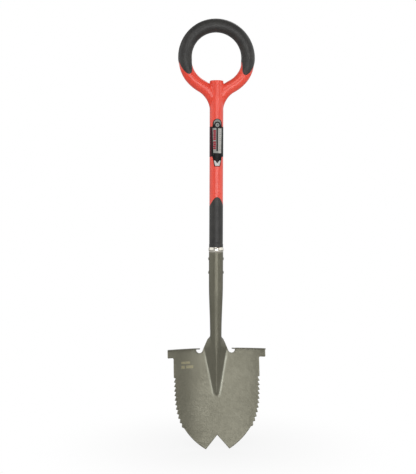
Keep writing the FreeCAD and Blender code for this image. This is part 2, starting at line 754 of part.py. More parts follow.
def make_seam_flare():
    """The pointed arch behind the neck, where the socket's seam opens into the blade."""
    half, foot, rise = dim("seam_flare_width"), dim("neck_height"), dim("seam_flare_height")
    shoulder_width, shoulder_rise = 0.72, 0.55
    peak = Vector(0, SEAM_FRONT, foot + rise)
    right, left = Vector(half, SEAM_FRONT, foot), Vector(-half, SEAM_FRONT, foot)
    shoulder = Vector(shoulder_width * half, SEAM_FRONT, foot + shoulder_rise * rise)
    mirrored = Vector(-shoulder.x, shoulder.y, shoulder.z)
    below = Vector(0, 0, -2 * SOCKET_LAP)
    edges = [arc(right, shoulder, peak), arc(peak, mirrored, left)]
    edges += polyline([left, left + below, right + below, right])
    return prism(edges, Vector(0, SEAM_DEPTH, 0))


def make_socket():
    """The rolled socket above the neck, with its open seam at the back."""
    proud = 0.12
    bottom = dim("neck_height") - SOCKET_LAP
    body, top = dim("socket_body_height"), dim("socket_top")
    heights = [bottom] + spread(dim("socket_neck_height"), body, 7) + spread(mix(body, top, 0.25), top, 2)
    outside, inside = [], []
    for z in heights:
        extra = proud if z == bottom else 0.0
        outside.append(Vector(socket_radius(z) + extra, 0, z))
        inside.append(Vector(socket_radius(z) - dim("sheet") - extra, 0, z))
    edges = [spline(outside), line(outside[-1], inside[-1]), spline(inside), line(inside[0], outside[0])]
    tube = Part.Face(Part.Wire(edges)).revolve(Vector(), Vector(0, 0, 1), 360)
    gap = dim("seam_gap")
    corner = Vector(-gap / 2, SEAM_FRONT, bottom - SOCKET_LAP)
    seam = Part.makeBox(gap, SEAM_DEPTH, top - bottom + 2 * SOCKET_LAP, corner)
    return tube.cut([seam, make_seam_flare()])


def step_curve(side, first, last, forward, z):
    """The plate's own curve, moved forward, between two distances from the axis."""
    dish = 2 * dim("plate_dish_radius")
    middle = plate_y(dim("step_height") - dim("sheet") / 2) - forward
    curve = Part.BezierCurve()
    curve.setPoles([
        Vector(side * first, middle - first ** 2 / dish, z),
        Vector(side * (first + last) / 2, middle - first * last / dish, z),
        Vector(side * last, middle - last ** 2 / dish, z),
    ])
    return curve.toShape()


def make_step(side):
    """One foot step: the top of the plate folded forward, level, as thick as the sheet."""
    z = dim("step_height") - dim("sheet")
    inner, outer = dim("step_inner_end"), dim("tab_half_width")
    back = step_curve(side, inner, outer, 0.0, z)
    front = step_curve(side, inner, outer, dim("step_reach"), z)
    edges = [back, line(back.Vertexes[-1].Point, front.Vertexes[-1].Point), front]
    edges.append(line(front.Vertexes[0].Point, back.Vertexes[0].Point))
    slab = prism(edges, Vector(0, 0, dim("sheet")))
    ends = [front.Vertexes[0].Point, front.Vertexes[-1].Point]
    lift = Vector(0, 0, dim("sheet") / 2)
    corners = [e for e in slab.Edges if any((e.CenterOfMass - lift).isEqual(end, 1e-3) for end in ends)]
    return slab.makeFillet(dim("step_corner"), corners)


def make_blade():
    """The pressed steel head in one piece."""
    blade = make_sheet_solid().common(make_outline_prism())
    blade = blade.fuse(make_socket())
    for side in (-1, 1):
        blade = blade.fuse(make_step(side))
    reach = 1.5 * dim("socket_mouth_radius")
    for height in ("rivet_upper", "rivet_lower"):
        radius = dim("rivet_shank_radius") + dim("rivet_clearance")
        start = Vector(-reach, 0, dim(height))
        blade = blade.cut(Part.makeCylinder(radius, 2 * reach, start, Vector(1, 0, 0)))
    return shape_object("blade", blade)


# ---- assembly ---------------------------------------------------------------------------------

def make_parts():
    ring_zone = make_ring_zone()
    shaft_zone = make_shaft_zone()
    rivet_holes = make_rivet_holes()
    return [
        make_blade(),
        make_handle_moulding(ring_zone, shaft_zone, rivet_holes),
        make_ring_grip(ring_zone),
        make_lower_grip(shaft_zone),
        make_core_tube(rivet_holes),
        make_core_dowel(rivet_holes),
        make_top_plug(),
        make_collar(),
        make_socket_rivets(),
        make_shaft_label(),
    ]


def check_document():
    """Stop if any object failed to compute."""
    doc.recompute()
    for obj in doc.Objects:
        if "Invalid" in obj.State or "Error" in obj.State:
            raise RuntimeError(f"{obj.Name} did not compute: {obj.State}")


def write_part(obj):
    """Stop if the sub-part's shape is bad, and otherwise write it."""
    shape = obj.Shape
    if shape.isNull() or not shape.isValid() or shape.Volume <= 0:
        raise RuntimeError(f"{obj.Label} has no valid shape")
    print(obj.Label, len(shape.Solids), "solid(s)", round(shape.Volume / 1000, 2), "cm3")
    shape.exportStep(os.path.join("parts", obj.Label + ".step"))


os.makedirs("parts", exist_ok=True)
parts = make_parts()
for part in parts:
    part.Label = part.Name
    part.setExpression("Placement.Base.y", "dims.shaft_setback")
check_document()
for part in parts:
    write_part(part)
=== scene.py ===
import math

import bpy
import numpy as np
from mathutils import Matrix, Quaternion, Vector
from mathutils.geometry import delaunay_2d_cdt


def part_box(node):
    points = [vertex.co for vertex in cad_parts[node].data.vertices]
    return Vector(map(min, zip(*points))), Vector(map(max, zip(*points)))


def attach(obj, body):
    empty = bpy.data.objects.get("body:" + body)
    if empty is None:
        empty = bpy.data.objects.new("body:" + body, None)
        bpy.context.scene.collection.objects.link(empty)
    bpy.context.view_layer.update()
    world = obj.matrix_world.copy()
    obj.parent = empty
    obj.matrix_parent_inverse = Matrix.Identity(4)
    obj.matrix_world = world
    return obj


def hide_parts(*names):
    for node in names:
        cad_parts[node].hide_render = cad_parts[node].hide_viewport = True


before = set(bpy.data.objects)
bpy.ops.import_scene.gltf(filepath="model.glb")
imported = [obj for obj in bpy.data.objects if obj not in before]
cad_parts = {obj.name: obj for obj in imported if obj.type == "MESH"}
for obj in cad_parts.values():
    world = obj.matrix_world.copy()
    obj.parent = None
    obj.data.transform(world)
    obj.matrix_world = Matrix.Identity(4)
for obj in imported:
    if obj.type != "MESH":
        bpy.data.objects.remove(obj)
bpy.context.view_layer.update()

# Round point digging shovel with an O-ring handle. Lengths in this script are millimetres in the
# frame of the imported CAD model, +Z up, blade facing -Y, and become metres where a mesh is made.

MM = 0.001


def node_box(node):
    """Lowest and highest corner of a CAD node, in millimetres."""
    low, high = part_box(node)
    return low / MM, high / MM


# ---- sizes read from the frame ----

LABEL_FILM = 0.3
PLUG_SUNK = 0.6
GRIP_PROUD = 1.3

GRIP_LOW, GRIP_HIGH = node_box("ring_grip")
AXIS_Y = (GRIP_LOW.y + GRIP_HIGH.y) / 2
RING_GRIP_TUBE = (GRIP_HIGH.y - GRIP_LOW.y) / 2
RING_BEND = GRIP_HIGH.x - RING_GRIP_TUBE
RING_Z = GRIP_HIGH.z - RING_BEND - RING_GRIP_TUBE
RING_TUBE = RING_GRIP_TUBE - GRIP_PROUD
RING_CORE = node_box("handle_moulding")[1].z - RING_Z - RING_BEND
LABEL_LOW, LABEL_HIGH = node_box("shaft_label")
LABEL_RADIUS = LABEL_HIGH.x
SHAFT_RADIUS = LABEL_RADIUS - LABEL_FILM
CORE_LOW, CORE_HIGH = node_box("core_tube")
CORE_RADIUS = CORE_HIGH.x
TENON_BOTTOM = CORE_LOW.z
BOSS_TOP = node_box("top_plug")[1].z + PLUG_SUNK
FOOT_GRIP_LOW, FOOT_GRIP_HIGH = node_box("lower_grip")
TAB_X, _, SOCKET_TOP = node_box("blade")[1]

# ---- hand ring and yoke (a FADE or LENGTH is the distance over which a change comes in) ----

ARM_BEND = 0.923 * RING_BEND
ARM_DROP = math.sqrt((RING_BEND + ARM_BEND) ** 2 - ARM_BEND ** 2)
ARM_FOOT = RING_Z - ARM_DROP
RING_GRIP_DROP = math.radians(4.5)
RING_TONGUE = 40.0 / RING_BEND
TONGUE_FULLNESS = 2.6
RECESS_REACH = 1.3 * RING_GRIP_TUBE
ARM_GROWTH = 0.8
ARM_GROWTH_TOP = 18.0
ARM_FLATNESS = 0.28
YOKE_STRETCH = 0.5
STRETCH_LENGTH = 45.0
RING_SPREAD = 1.3
SPREAD_DROP, SPREAD_FADE, SPREAD_SIDE = 92.0, 40.0, 30.0
FILLET_START, FILLET_GROWTH, FILLET_LIMIT = 0.01, 0.3, 2.4
CROTCH_FILLET = 3.0
CROTCH_REACH, CROTCH_LOW_FADE, CROTCH_TOP_FADE = 8.0, 12.0, 5.0
BOSS_ROUND = 1.2
LAP = 0.8

# ---- lower grip (FOOT is the foot of the shaft) ----

FOOT_TONGUE = 23.0
FOOT_RECESS, FOOT_PROUD = 1.85, 0.2
FOOT_CORE = SHAFT_RADIUS - FOOT_RECESS
FOOT_RADIUS = SHAFT_RADIUS + FOOT_PROUD
FOOT_BEAD, BEAD_TOP, BEAD_FADE = 0.4, 9.0, 3.0
GROOVE_DEPTH, GROOVE_HEIGHT, GROOVE_WIDTH = 0.55, 10.5, 1.3

# ---- blade ----

SHEET = 2.0
EDGE_ROUND = 0.7
STEP_Z = 258.6
STEP_REACH = 13.0
STEP_CORNER = 5.0
STEP_INNER = 42.0
FOLD_RADIUS = 2.6
PLATE_BACK = 7.2
PLATE_LEAN = math.radians(9.5)
PLATE_SWEEP = 12000.0
PLATE_DISH = 340.0
PLATE_FADE = 12.0
NECK_Z = 294.0
NECK_RADIUS = 14.2
NECK_BLEND = 12.0
SOCKET_NECK_Z = 300.0
SOCKET_BODY_Z = 432.0
SOCKET_BODY_RADIUS = 17.6
SOCKET_MOUTH_RADIUS = 17.8
TENON_GAP = 0.15
TENON_RADIUS = SOCKET_BODY_RADIUS - SHEET / 2 - TENON_GAP
SEAM_GAP = 1.2
FLARE_HALF = 14.2
FLARE_HEIGHT = 58.0
RIDGE_END = 133.6
RIDGE_END_HALF = 7.8
RIDGE_WIDENING = 0.1936
RIDGE_ROUND_Z = 227.0
CREST_RADIUS = 3.2
FOOT_HOLLOW = 5.6
NOSE_RISE, NOSE_LENGTH, NOSE_FADE = 1.3, 11.0, 70.0
NECK_HOLLOW = 6.0
NECK_FOOT_HALF = 20.3
TAB_BOTTOM = 236.3
TAB_FILLET = 3.5
TAB_CORNER = 2.4
BLADE_HALF = 113.3
NOTCH_X, NOTCH_Z, NOTCH_RADIUS = 42.6, 254.3, 8.9
NOTCH_START = math.radians(190)
WING_TOP, WING_MIDDLE = (14.6, NECK_Z), (24.4, 273.5)
TEETH_TOP = 186.2
TOOTH_PITCH = 11.5
TOOTH_COUNT = 11
TOOTH_DEPTH = 4.8
TOOTH_RETURN = 2.2
TAPER, TAPER_POWER = 19.4, 3.4
ARC_TOP = (87.5, 56.3)
ARC_BULGE = 4.7
TIP_X = 31.0
V_NOTCH = 35.0


# ---- mesh helpers ----

def add_mesh(name, points, faces, sharp_degrees=40.0):
    """A mesh object from points in millimetres, smooth except at sharp edges."""
    mesh = bpy.data.meshes.new(name)
    mesh.from_pydata((np.asarray(points) * MM).tolist(), [], faces)
    mesh.validate()
    if enclosed_volume(mesh) < 0.0:
        mesh.flip_normals()
    mesh.polygons.foreach_set("use_smooth", [True] * len(mesh.polygons))
    mesh.set_sharp_from_angle(angle=math.radians(sharp_degrees))
    obj = bpy.data.objects.new(name, mesh)
    bpy.context.scene.collection.objects.link(obj)
    return obj


def enclosed_volume(mesh):
    """Volume of a closed mesh: below zero when its faces look inward."""
    mesh.calc_loop_triangles()
    corners = np.array([[mesh.vertices[i].co for i in t.vertices] for t in mesh.loop_triangles])
    return float((np.cross(corners[:, 0], corners[:, 1]) * corners[:, 2]).sum()) / 6.0


def stand_for(obj, node):
    """obj stands for a CAD node and rides on the tool's one body."""
    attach(obj, "root")
    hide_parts(node)
    return obj


def smooth(u):
    """0 to 1 with a level start and end."""
    u = np.clip(u, 0.0, 1.0)
    return u * u * (3.0 - 2.0 * u)


def mix(a, b, u):
    return a + (b - a) * u


def closed_grid(rows):
    """Faces of a tube of points: every row is a closed loop, and the last row joins the first."""
    count, width = len(rows), len(rows[0])
    faces = []
    for i in range(count):
        for j in range(width):
            a, b = i * width + j, i * width + (j + 1) % width
            c, d = (a + width) % (count * width), (b + width) % (count * width)
            faces.append((a, b, d, c))
    return faces


# ---- handle moulding: a field whose zero surface is the moulding's skin ----

def arc_distance(x, y, z, centre_x, centre_z, bend, first, last):
    """Distance to part of a circle that stands in the XZ plane, between two angles."""
    angle = np.arctan2(z - centre_z, x - centre_x)
    middle = (first + last) / 2
    turned = np.mod(angle - middle + math.pi, 2 * math.pi) - math.pi
    held = middle + np.clip(turned, first - middle, last - middle)
    near_x = centre_x + bend * np.cos(held)
    near_z = centre_z + bend * np.sin(held)
    return np.sqrt((x - near_x) ** 2 + y ** 2 + (z - near_z) ** 2)


def rounded_union(a, b, radius):
    """The union of two fields with a round hollow of the given radius between them."""
    short_a, short_b = np.maximum(radius - a, 0.0), np.maximum(radius - b, 0.0)
    return np.maximum(radius, np.minimum(a, b)) - np.hypot(short_a, short_b)


def column_field(x, y, z):
    """The shaft's column, from the tenon's lower end to the boss."""
    reach = np.hypot(x, y) - np.where(z < FOOT_GRIP_LOW.z, TENON_RADIUS, SHAFT_RADIUS)
    past_end = np.maximum(z - BOSS_TOP, TENON_BOTTOM - z)
    reach, past_end = reach + BOSS_ROUND, past_end + BOSS_ROUND
    outside = np.hypot(np.maximum(reach, 0.0), np.maximum(past_end, 0.0))
    return outside + np.minimum(np.maximum(reach, past_end), 0.0) - BOSS_ROUND


def yoke_field(x, y, z):
    """Column, ring and both arms, with hollows that grow as the arms leave the column.

    Towards the column the arms grow wider from side to side and flatter from front to back. The
    ring and the arms below its middle are stretched a little, down and outward.
    """
    x_column, z_column = x, z
    spread = RING_SPREAD * smooth((RING_Z - z) / SPREAD_FADE)
    spread = spread * smooth((z - RING_Z + SPREAD_DROP) / SPREAD_FADE)
    x = x - np.sign(x) * spread * smooth(np.abs(x) / SPREAD_SIDE)
    z = z + YOKE_STRETCH * smooth((RING_Z - z) / STRETCH_LENGTH)
    lean = math.atan2(ARM_DROP, ARM_BEND)
    towards_foot = 1.0 - smooth((z - ARM_FOOT) / (RING_Z - RING_BEND / 2 - ARM_FOOT))
    fuller = 1.0 - smooth((z - ARM_FOOT) / (RING_Z - ARM_GROWTH_TOP - ARM_FOOT))
    tube = RING_TUBE + ARM_GROWTH * fuller
    deep = y * (1.0 + ARM_FLATNESS * towards_foot)
    ring = arc_distance(x, deep, z, 0.0, RING_Z, RING_BEND, -lean, math.pi + lean)
    right = arc_distance(x, deep, z, ARM_BEND, ARM_FOOT, ARM_BEND, math.pi - lean, math.pi)
    left = arc_distance(x, deep, z, -ARM_BEND, ARM_FOOT, ARM_BEND, 0.0, lean)
    arms = np.minimum(np.minimum(left, right), ring) - tube
    climb = np.clip(z - ARM_FOOT, 0.0, ARM_BEND)
    parting = ARM_BEND - np.sqrt(ARM_BEND ** 2 - climb ** 2)
    crotch = smooth((z - RING_Z + RING_BEND + CROTCH_REACH) / CROTCH_LOW_FADE)
    crotch = crotch * (1.0 - smooth((z - BOSS_TOP + CROTCH_REACH) / CROTCH_TOP_FADE))
    fullest = FILLET_LIMIT + CROTCH_FILLET * crotch
    hollow = np.clip(FILLET_GROWTH * parting, FILLET_START, fullest)
    return rounded_union(column_field(x_column, y, z_column), arms, hollow)


def ring_grip_edge(tube_angle):
    """Angle below the ring's middle of the grip's edge: a rounded tongue at the front and back."""
    return RING_GRIP_DROP + RING_TONGUE * (1.0 - np.abs(np.cos(tube_angle)) ** TONGUE_FULLNESS)


def ring_grip_zone(x, y, z):
    """Below zero where the ring grip covers the ring, less a lap at its edge."""
    across = np.hypot(x, z - RING_Z) - RING_BEND
    tube_angle = np.arctan2(y, across)
    drop = np.arcsin(np.clip((RING_Z - z) / np.maximum(np.hypot(x, z - RING_Z), 1e-6), -1.0, 1.0))
    return (drop - ring_grip_edge(tube_angle)) * RING_BEND + LAP


def foot_grip_top(sine):
    """Top edge of the lower grip: highest at the front and back, where the sine is zero."""
    return FOOT_GRIP_HIGH.z - FOOT_TONGUE * sine ** 2


def moulding_field(x, y, z):
    """The whole moulding: yoke and column, less both grip recesses and the bore."""
    body = yoke_field(x, y, z)
    ring_distance = np.hypot(np.hypot(x, z - RING_Z) - RING_BEND, y)
    near_ring = np.maximum(ring_distance - RECESS_REACH, RING_CORE - ring_distance)
    ring_recess = np.maximum(near_ring, ring_grip_zone(x, y, z))
    radius = np.hypot(x, y)
    top = foot_grip_top(x / np.maximum(radius, 1e-6)) - LAP
    foot_recess = np.maximum(FOOT_CORE - radius, np.maximum(z - top, FOOT_GRIP_LOW.z - z))
    bore = radius - CORE_RADIUS
    return np.maximum(body, -np.minimum(np.minimum(ring_recess, foot_recess), bore))


def field_slope(field, points, step=0.02):
    """The field's value and gradient at each point."""
    x, y, z = points.T
    value = field(x, y, z)
    slope = np.stack([
        field(x + step, y, z) - field(x - step, y, z),
        field(x, y + step, z) - field(x, y - step, z),
        field(x, y, z + step) - field(x, y, z - step),
    ], axis=1) / (2 * step)
    return value, slope


def fill_diagonals(inside, passes=3):
    """Fills grid corners that would pinch the skin: squares inside at only two opposite corners."""
    for axis in list(range(3)) * passes:
        layer = np.moveaxis(inside, axis, 0)
        near, right = layer[:, :-1, :-1], layer[:, 1:, :-1]
        above, across = layer[:, :-1, 1:], layer[:, 1:, 1:]
        right |= near & across & ~right & ~above
        near |= right & above & ~near & ~across


def skin_of(field, axes, rounds=6, flattest=0.05, longest_move=1.0):
    """Points and faces of a field's zero surface: one point for each grid cell that it crosses."""
    values = field(*np.meshgrid(*axes, indexing="ij"))
    inside = values < 0.0
    fill_diagonals(inside)
    corners = [inside[i:i - 1 or None, j:j - 1 or None, k:k - 1 or None]
               for i in (0, 1) for j in (0, 1) for k in (0, 1)]
    full = np.logical_and.reduce(corners)
    crossed = np.logical_or.reduce(corners) & ~full
    index = np.full(crossed.shape, -1)
    index[crossed] = np.arange(crossed.sum())
    middles = [(axis[1:] + axis[:-1]) / 2 for axis in axes]
    points = np.stack([m[c] for m, c in zip(middles, np.nonzero(crossed))], axis=1)
    for _ in range(rounds):
        value, slope = field_slope(field, points)
        steepness = np.maximum((slope ** 2).sum(axis=1), flattest)
        points -= np.clip(value / steepness, -longest_move, longest_move)[:, None] * slope
    faces = []
    for axis in range(3):
        faces += edge_faces(inside, index, axis)
    return points, faces


def edge_faces(inside, index, axis):
    """A quad round each grid edge along one axis that crosses the surface."""
    here = np.moveaxis(inside, axis, 0)
    cells = np.moveaxis(index, axis, 0)
    start, end = here[:-1, 1:-1, 1:-1], here[1:, 1:-1, 1:-1]
    i, j, k = np.nonzero(start != end)
    loop = [cells[i, j, k], cells[i, j + 1, k], cells[i, j + 1, k + 1], cells[i, j, k + 1]]
    quads = np.stack(loop, axis=1)
    leaving = start[i, j, k] != (axis == 1)
    quads[~leaving] = quads[~leaving][:, ::-1]
    return quads.tolist()


def spaced(stops):
    """Grid positions between stops, each given as (position, spacing up to the next one)."""
    values = []
    for (start, gap), (end, _) in zip(stops, stops[1:]):
        count = max(1, round((end - start) / gap))
        values += [mix(start, end, i / count) for i in range(count)]
    return np.array(values + [stops[-1][0]])


def make_moulding():
    """Ring, arms, boss, shaft and tenon in one skin, with hollows where the arms leave the boss."""
    fine, coarse = 1.2, 6.0
    margin, end_margin, step_margin, arm_margin = 3.0, 4.0, 5.0, 10.0
    side, depth = RING_BEND + RING_TUBE + margin, SHAFT_RADIUS + margin
    widths = spaced([(-side, fine), (side, fine)])
    depths = spaced([(-depth, fine), (depth, fine)])
    heights = spaced([
        (TENON_BOTTOM - end_margin, fine), (TENON_BOTTOM + end_margin, coarse),
        (FOOT_GRIP_LOW.z - step_margin, fine), (FOOT_GRIP_LOW.z + step_margin, coarse),
        (FOOT_GRIP_HIGH.z - FOOT_TONGUE - margin, fine), (FOOT_GRIP_HIGH.z + margin, coarse),
        (ARM_FOOT - arm_margin, fine), (GRIP_HIGH.z + margin, fine),
    ])
    points, faces = skin_of(moulding_field, [widths, depths, heights])
    points[:, 1] += AXIS_Y
    obj = add_mesh("moulding_skin", points, faces, 50.0)
    return stand_for(obj, "handle_moulding")


# ---- soft grips ----

LIP_STEPS = 4
LIP_ROUND = 0.9
GRIP_SWELL = 0.15
GRIP_AROUND = 96


def lip_profile(outer, inner):
    """Radius and distance from the edge over a grip's end: its flat face, then a round shoulder."""
    stops = [(inner, 0.0)]
    for i in range(LIP_STEPS + 1):
        turn = math.pi / 2 * i / LIP_STEPS
        radius = outer - LIP_ROUND * (1 - math.sin(turn))
        stops.append((radius, LIP_ROUND * (1 - math.cos(turn))))
    return stops


def make_ring_grip():
    """The soft cover over the upper part of the ring, with a rounded lip along its edge."""
    outer_rows, inner_rows = 220, 60
    outer, inner = RING_GRIP_TUBE + GRIP_SWELL, RING_CORE
    turns = np.linspace(0.0, 2 * math.pi, GRIP_AROUND, endpoint=False)
    edge = ring_grip_edge(turns)
    lip = lip_profile(outer, inner)
    stops = [(radius, inset, 0.0) for radius, inset in lip]
    stops += [(outer, LIP_ROUND, i / outer_rows) for i in range(1, outer_rows)]
    stops += [(radius, inset, 1.0) for radius, inset in reversed(lip)]
    stops += [(inner, LIP_ROUND, i / inner_rows) for i in range(inner_rows - 1, 0, -1)]
    rows = []
    for radius, inset, share in stops:
        end = edge - inset / RING_BEND
        angle = mix(-end, math.pi + end, share)
        reach = RING_BEND + radius * np.cos(turns)
        rows.append(np.stack([reach * np.cos(angle), AXIS_Y + radius * np.sin(turns),
                              RING_Z + reach * np.sin(angle)], axis=1))
    obj = add_mesh("ring_grip_skin", np.concatenate(rows), closed_grid(rows), 60.0)
    return stand_for(obj, "ring_grip")


def foot_grip_radius(height):
    """Radius of the lower grip's skin above its foot: a bead at the foot and a groove above it."""
    bead = FOOT_BEAD * (1.0 - smooth((height - BEAD_TOP) / BEAD_FADE))
    groove = GROOVE_DEPTH * np.exp(-((height - GROOVE_HEIGHT) / GROOVE_WIDTH) ** 2)
    return FOOT_RADIUS + bead - groove


def make_lower_grip():
    """The soft cover over the foot of the shaft, with a tongue at the front and the back."""
    level_foot, level_top, level_pitch = 1.6, 24.0, 0.7
    outer_rows, inner_rows, inner_margin = 40, 12, 0.05
    turns = np.linspace(0.0, 2 * math.pi, GRIP_AROUND, endpoint=False)
    top = foot_grip_top(np.sin(turns)) - FOOT_GRIP_LOW.z
    rows = []

    def row(radius, height):
        rows.append(np.stack([radius * np.sin(turns), AXIS_Y - radius * np.cos(turns),
                              FOOT_GRIP_LOW.z + height * np.ones(GRIP_AROUND)], axis=1))

    for radius, inset in lip_profile(FOOT_RADIUS + FOOT_BEAD, FOOT_CORE):
        row(radius, inset)
    for height in np.arange(level_foot, level_top, level_pitch):
        row(foot_grip_radius(height), height)
    for share in np.linspace(0.0, 1.0, outer_rows):
        height = mix(level_top, top - LIP_ROUND, share)
        row(foot_grip_radius(height), height)
    for radius, inset in reversed(lip_profile(FOOT_RADIUS, FOOT_CORE)[:-1]):
        row(radius, top - inset)
    for share in np.linspace(1.0 - inner_margin, inner_margin, inner_rows):
        row(FOOT_CORE, top * share)
    obj = add_mesh("lower_grip_skin", np.concatenate(rows), closed_grid(rows), 60.0)
    return stand_for(obj, "lower_grip")


# ---- blade: one pressed sheet, as a middle surface over a flat blank ----
#
# A place on the blank is (run, height): run is the length along the sheet's section from its
# crest, negative on the left, and height is the level before the foot steps are folded forward.

def plate_y(z):
    """Middle of the plate: it leans forward below the steps and turns upright above them."""
    slope = math.tan(PLATE_LEAN)
    below = STEP_Z - z
    low = PLATE_BACK - slope * below - below ** 2 / (2 * PLATE_SWEEP)
    above = np.clip(-below, 0.0, PLATE_FADE)
    return np.where(below >= 0.0, low, PLATE_BACK + slope * (above - above ** 2 / (2 * PLATE_FADE)))


def neck_share(z):
    """0 at the top of the plate, 1 where the neck meets the socket."""
    opening = STEP_Z - SHEET
    return smooth((z - opening) / (NECK_Z - opening))


def socket_radius(z):
    """Middle of the socket's wall."""
    low_share = smooth((z - SOCKET_NECK_Z) / (SOCKET_BODY_Z - SOCKET_NECK_Z))
    low = mix(NECK_RADIUS, SOCKET_BODY_RADIUS, low_share)
    top_share = (z - SOCKET_BODY_Z) / (SOCKET_TOP - SOCKET_BODY_Z)
    top = mix(SOCKET_BODY_RADIUS, SOCKET_MOUTH_RADIUS, top_share)
    return np.where(z <= SOCKET_BODY_Z, low, top)


def ridge_sizes(z):
    """Half width, height, crest radius, foot radius and flank angle of the ridge."""
    rise = plate_y(z) + NECK_RADIUS
    tall = 0.5 * (rise + np.sqrt(rise ** 2 + 1.0))
    above_end = z - RIDGE_END
    nose = smooth(above_end / NOSE_LENGTH) * (1.0 - smooth((above_end - NOSE_LENGTH) / NOSE_FADE))
    tall = tall + NOSE_RISE * nose
    wide = RIDGE_END_HALF + RIDGE_WIDENING * np.maximum(0.0, z - RIDGE_END)
    wide = mix(wide, NECK_FOOT_HALF, neck_share(z))
    rounding = smooth((z - RIDGE_ROUND_Z) / (NECK_Z - RIDGE_ROUND_Z))
    crest = mix(CREST_RADIUS, NECK_RADIUS, rounding)
    foot = mix(FOOT_HOLLOW, NECK_HOLLOW, rounding)
    both = crest + foot
    reach = np.hypot(wide, both - tall)
    angle = np.arcsin(np.minimum(1.0, both / reach)) - np.arctan2(both - tall, wide)
    return wide, tall, crest, foot, angle


def ridge_stops(z):
    """Run where the crest, the flank and the foot of the ridge end."""
    wide, tall, crest, foot, angle = ridge_sizes(z)
    flank = wide * np.cos(angle) + (tall - crest - foot) * np.sin(angle)
    crest_end = crest * angle
    return crest_end, crest_end + flank, crest_end + flank + foot * angle


def ridge_section(run, z):
    """x and y on one side of the ridge's section and the plate beyond it."""
    wide, tall, crest, foot, angle = ridge_sizes(z)
    crest_end, flank_end, foot_end = ridge_stops(z)
    turn = np.clip(run / crest, 0.0, angle)
    ahead = np.clip(run - crest_end, 0.0, flank_end - crest_end)
    back = np.clip((run - flank_end) / foot, 0.0, angle)
    beyond = np.maximum(run - foot_end, 0.0)
    x = crest * np.sin(turn) + ahead * np.cos(angle)
    x = x + foot * (np.sin(angle) - np.sin(angle - back)) + beyond
    y = crest * (1 - np.cos(turn)) + ahead * np.sin(angle)
    y = y + foot * (np.cos(angle - back) - np.cos(angle))
    dish = (1.0 - neck_share(z)) * x ** 2 / (2 * PLATE_DISH)
    return x, plate_y(z) - tall + y - dish


FOLD_ANGLE = math.pi / 2 + PLATE_LEAN
FOLD_START = STEP_Z - SHEET / 2 - FOLD_RADIUS * (1 + math.sin(PLATE_LEAN))
FOLD_END = FOLD_START + FOLD_RADIUS * FOLD_ANGLE
PLATE_GAIN = float(plate_y(STEP_Z - SHEET / 2) - plate_y(FOLD_START))
FOLD_GAIN = PLATE_GAIN + FOLD_RADIUS * math.cos(PLATE_LEAN)
STEP_END = FOLD_END + STEP_REACH - FOLD_GAIN


def middle_point(run, height):
    """Middle of the sheet for places on the blank."""
    side, run = np.where(run < 0.0, -1.0, 1.0), np.abs(run)
    at_fold_x, _ = ridge_section(run, np.minimum(height, FOLD_START))
    folded = (height > FOLD_START) & (height < STEP_END + 1.0) & (at_fold_x > NOTCH_X - 1.0)
    z = np.where(folded, FOLD_START, height)
    x, y = ridge_section(run, z)
    radius = socket_radius(z)
    rolled = smooth((z - NECK_Z + NECK_BLEND) / NECK_BLEND)
    x = mix(x, radius * np.sin(run / radius), rolled)
    y = mix(y, -radius * np.cos(run / radius), rolled)
    past = np.where(folded, height - FOLD_START, 0.0)
    bend = np.clip(past / FOLD_RADIUS, 0.0, FOLD_ANGLE)
    flat = np.maximum(past - FOLD_RADIUS * FOLD_ANGLE, 0.0)
    up, forward = FOLD_RADIUS * np.sin(bend), FOLD_RADIUS * (1 - np.cos(bend))
    y = y + up * math.sin(PLATE_LEAN) - forward * math.cos(PLATE_LEAN) - flat
    z = z + up * math.cos(PLATE_LEAN) + forward * math.sin(PLATE_LEAN)
    return np.stack([side * x, y, z], axis=-1)


def sheet_point(place, offset, small=0.01):
    """Points on the sheet, offset from its middle towards its front."""
    run, height = place.T
    across = middle_point(run + small, height) - middle_point(run - small, height)
    along = middle_point(run, height + small) - middle_point(run, height - small)
    normal = np.cross(across, along)
    normal /= np.linalg.norm(normal, axis=1)[:, None]
    return middle_point(run, height) + normal * np.asarray(offset)[..., None]


def run_at(x, z, samples=3000):
    """Run along the section at height z where the sheet reaches x from the middle."""
    runs = np.linspace(0.0, 1.5 * TAB_X, samples)
    reached, _ = ridge_section(runs, np.full_like(runs, min(z, FOLD_START) if x > NOTCH_X else z))
    return float(np.interp(x, reached, runs))


# ---- blade: outline of the blank ----

def circle_through(first, middle, last):
    """Centre and radius of the circle through three points in front view."""
    (ax, az), (bx, bz), (cx, cz) = first, middle, last
    d = 2 * (ax * (bz - cz) + bx * (cz - az) + cx * (az - bz))
    a, b, c = ax * ax + az * az, bx * bx + bz * bz, cx * cx + cz * cz
    x = (a * (bz - cz) + b * (cz - az) + c * (az - bz)) / d
    z = (a * (cx - bx) + b * (ax - cx) + c * (bx - ax)) / d
    return x, z, math.hypot(ax - x, az - z)


def quarter(first, last, count):
    """Angles from first to last, given in degrees."""
    return np.radians(np.linspace(first, last, count))


def round_points(x, z, radius, turns):
    """Points on a circle about (x, z), one for each angle."""
    return [(x + radius * math.cos(turn), z + radius * math.sin(turn)) for turn in turns]


def arc_points(first, middle, last, count):
    """Points in front view on the short arc from first to last by way of middle."""
    x, z, radius = circle_through(first, middle, last)
    angles = np.unwrap([math.atan2(p[1] - z, p[0] - x) for p in (first, middle, last)])
    return round_points(x, z, radius, np.linspace(angles[0], angles[2], count + 1))


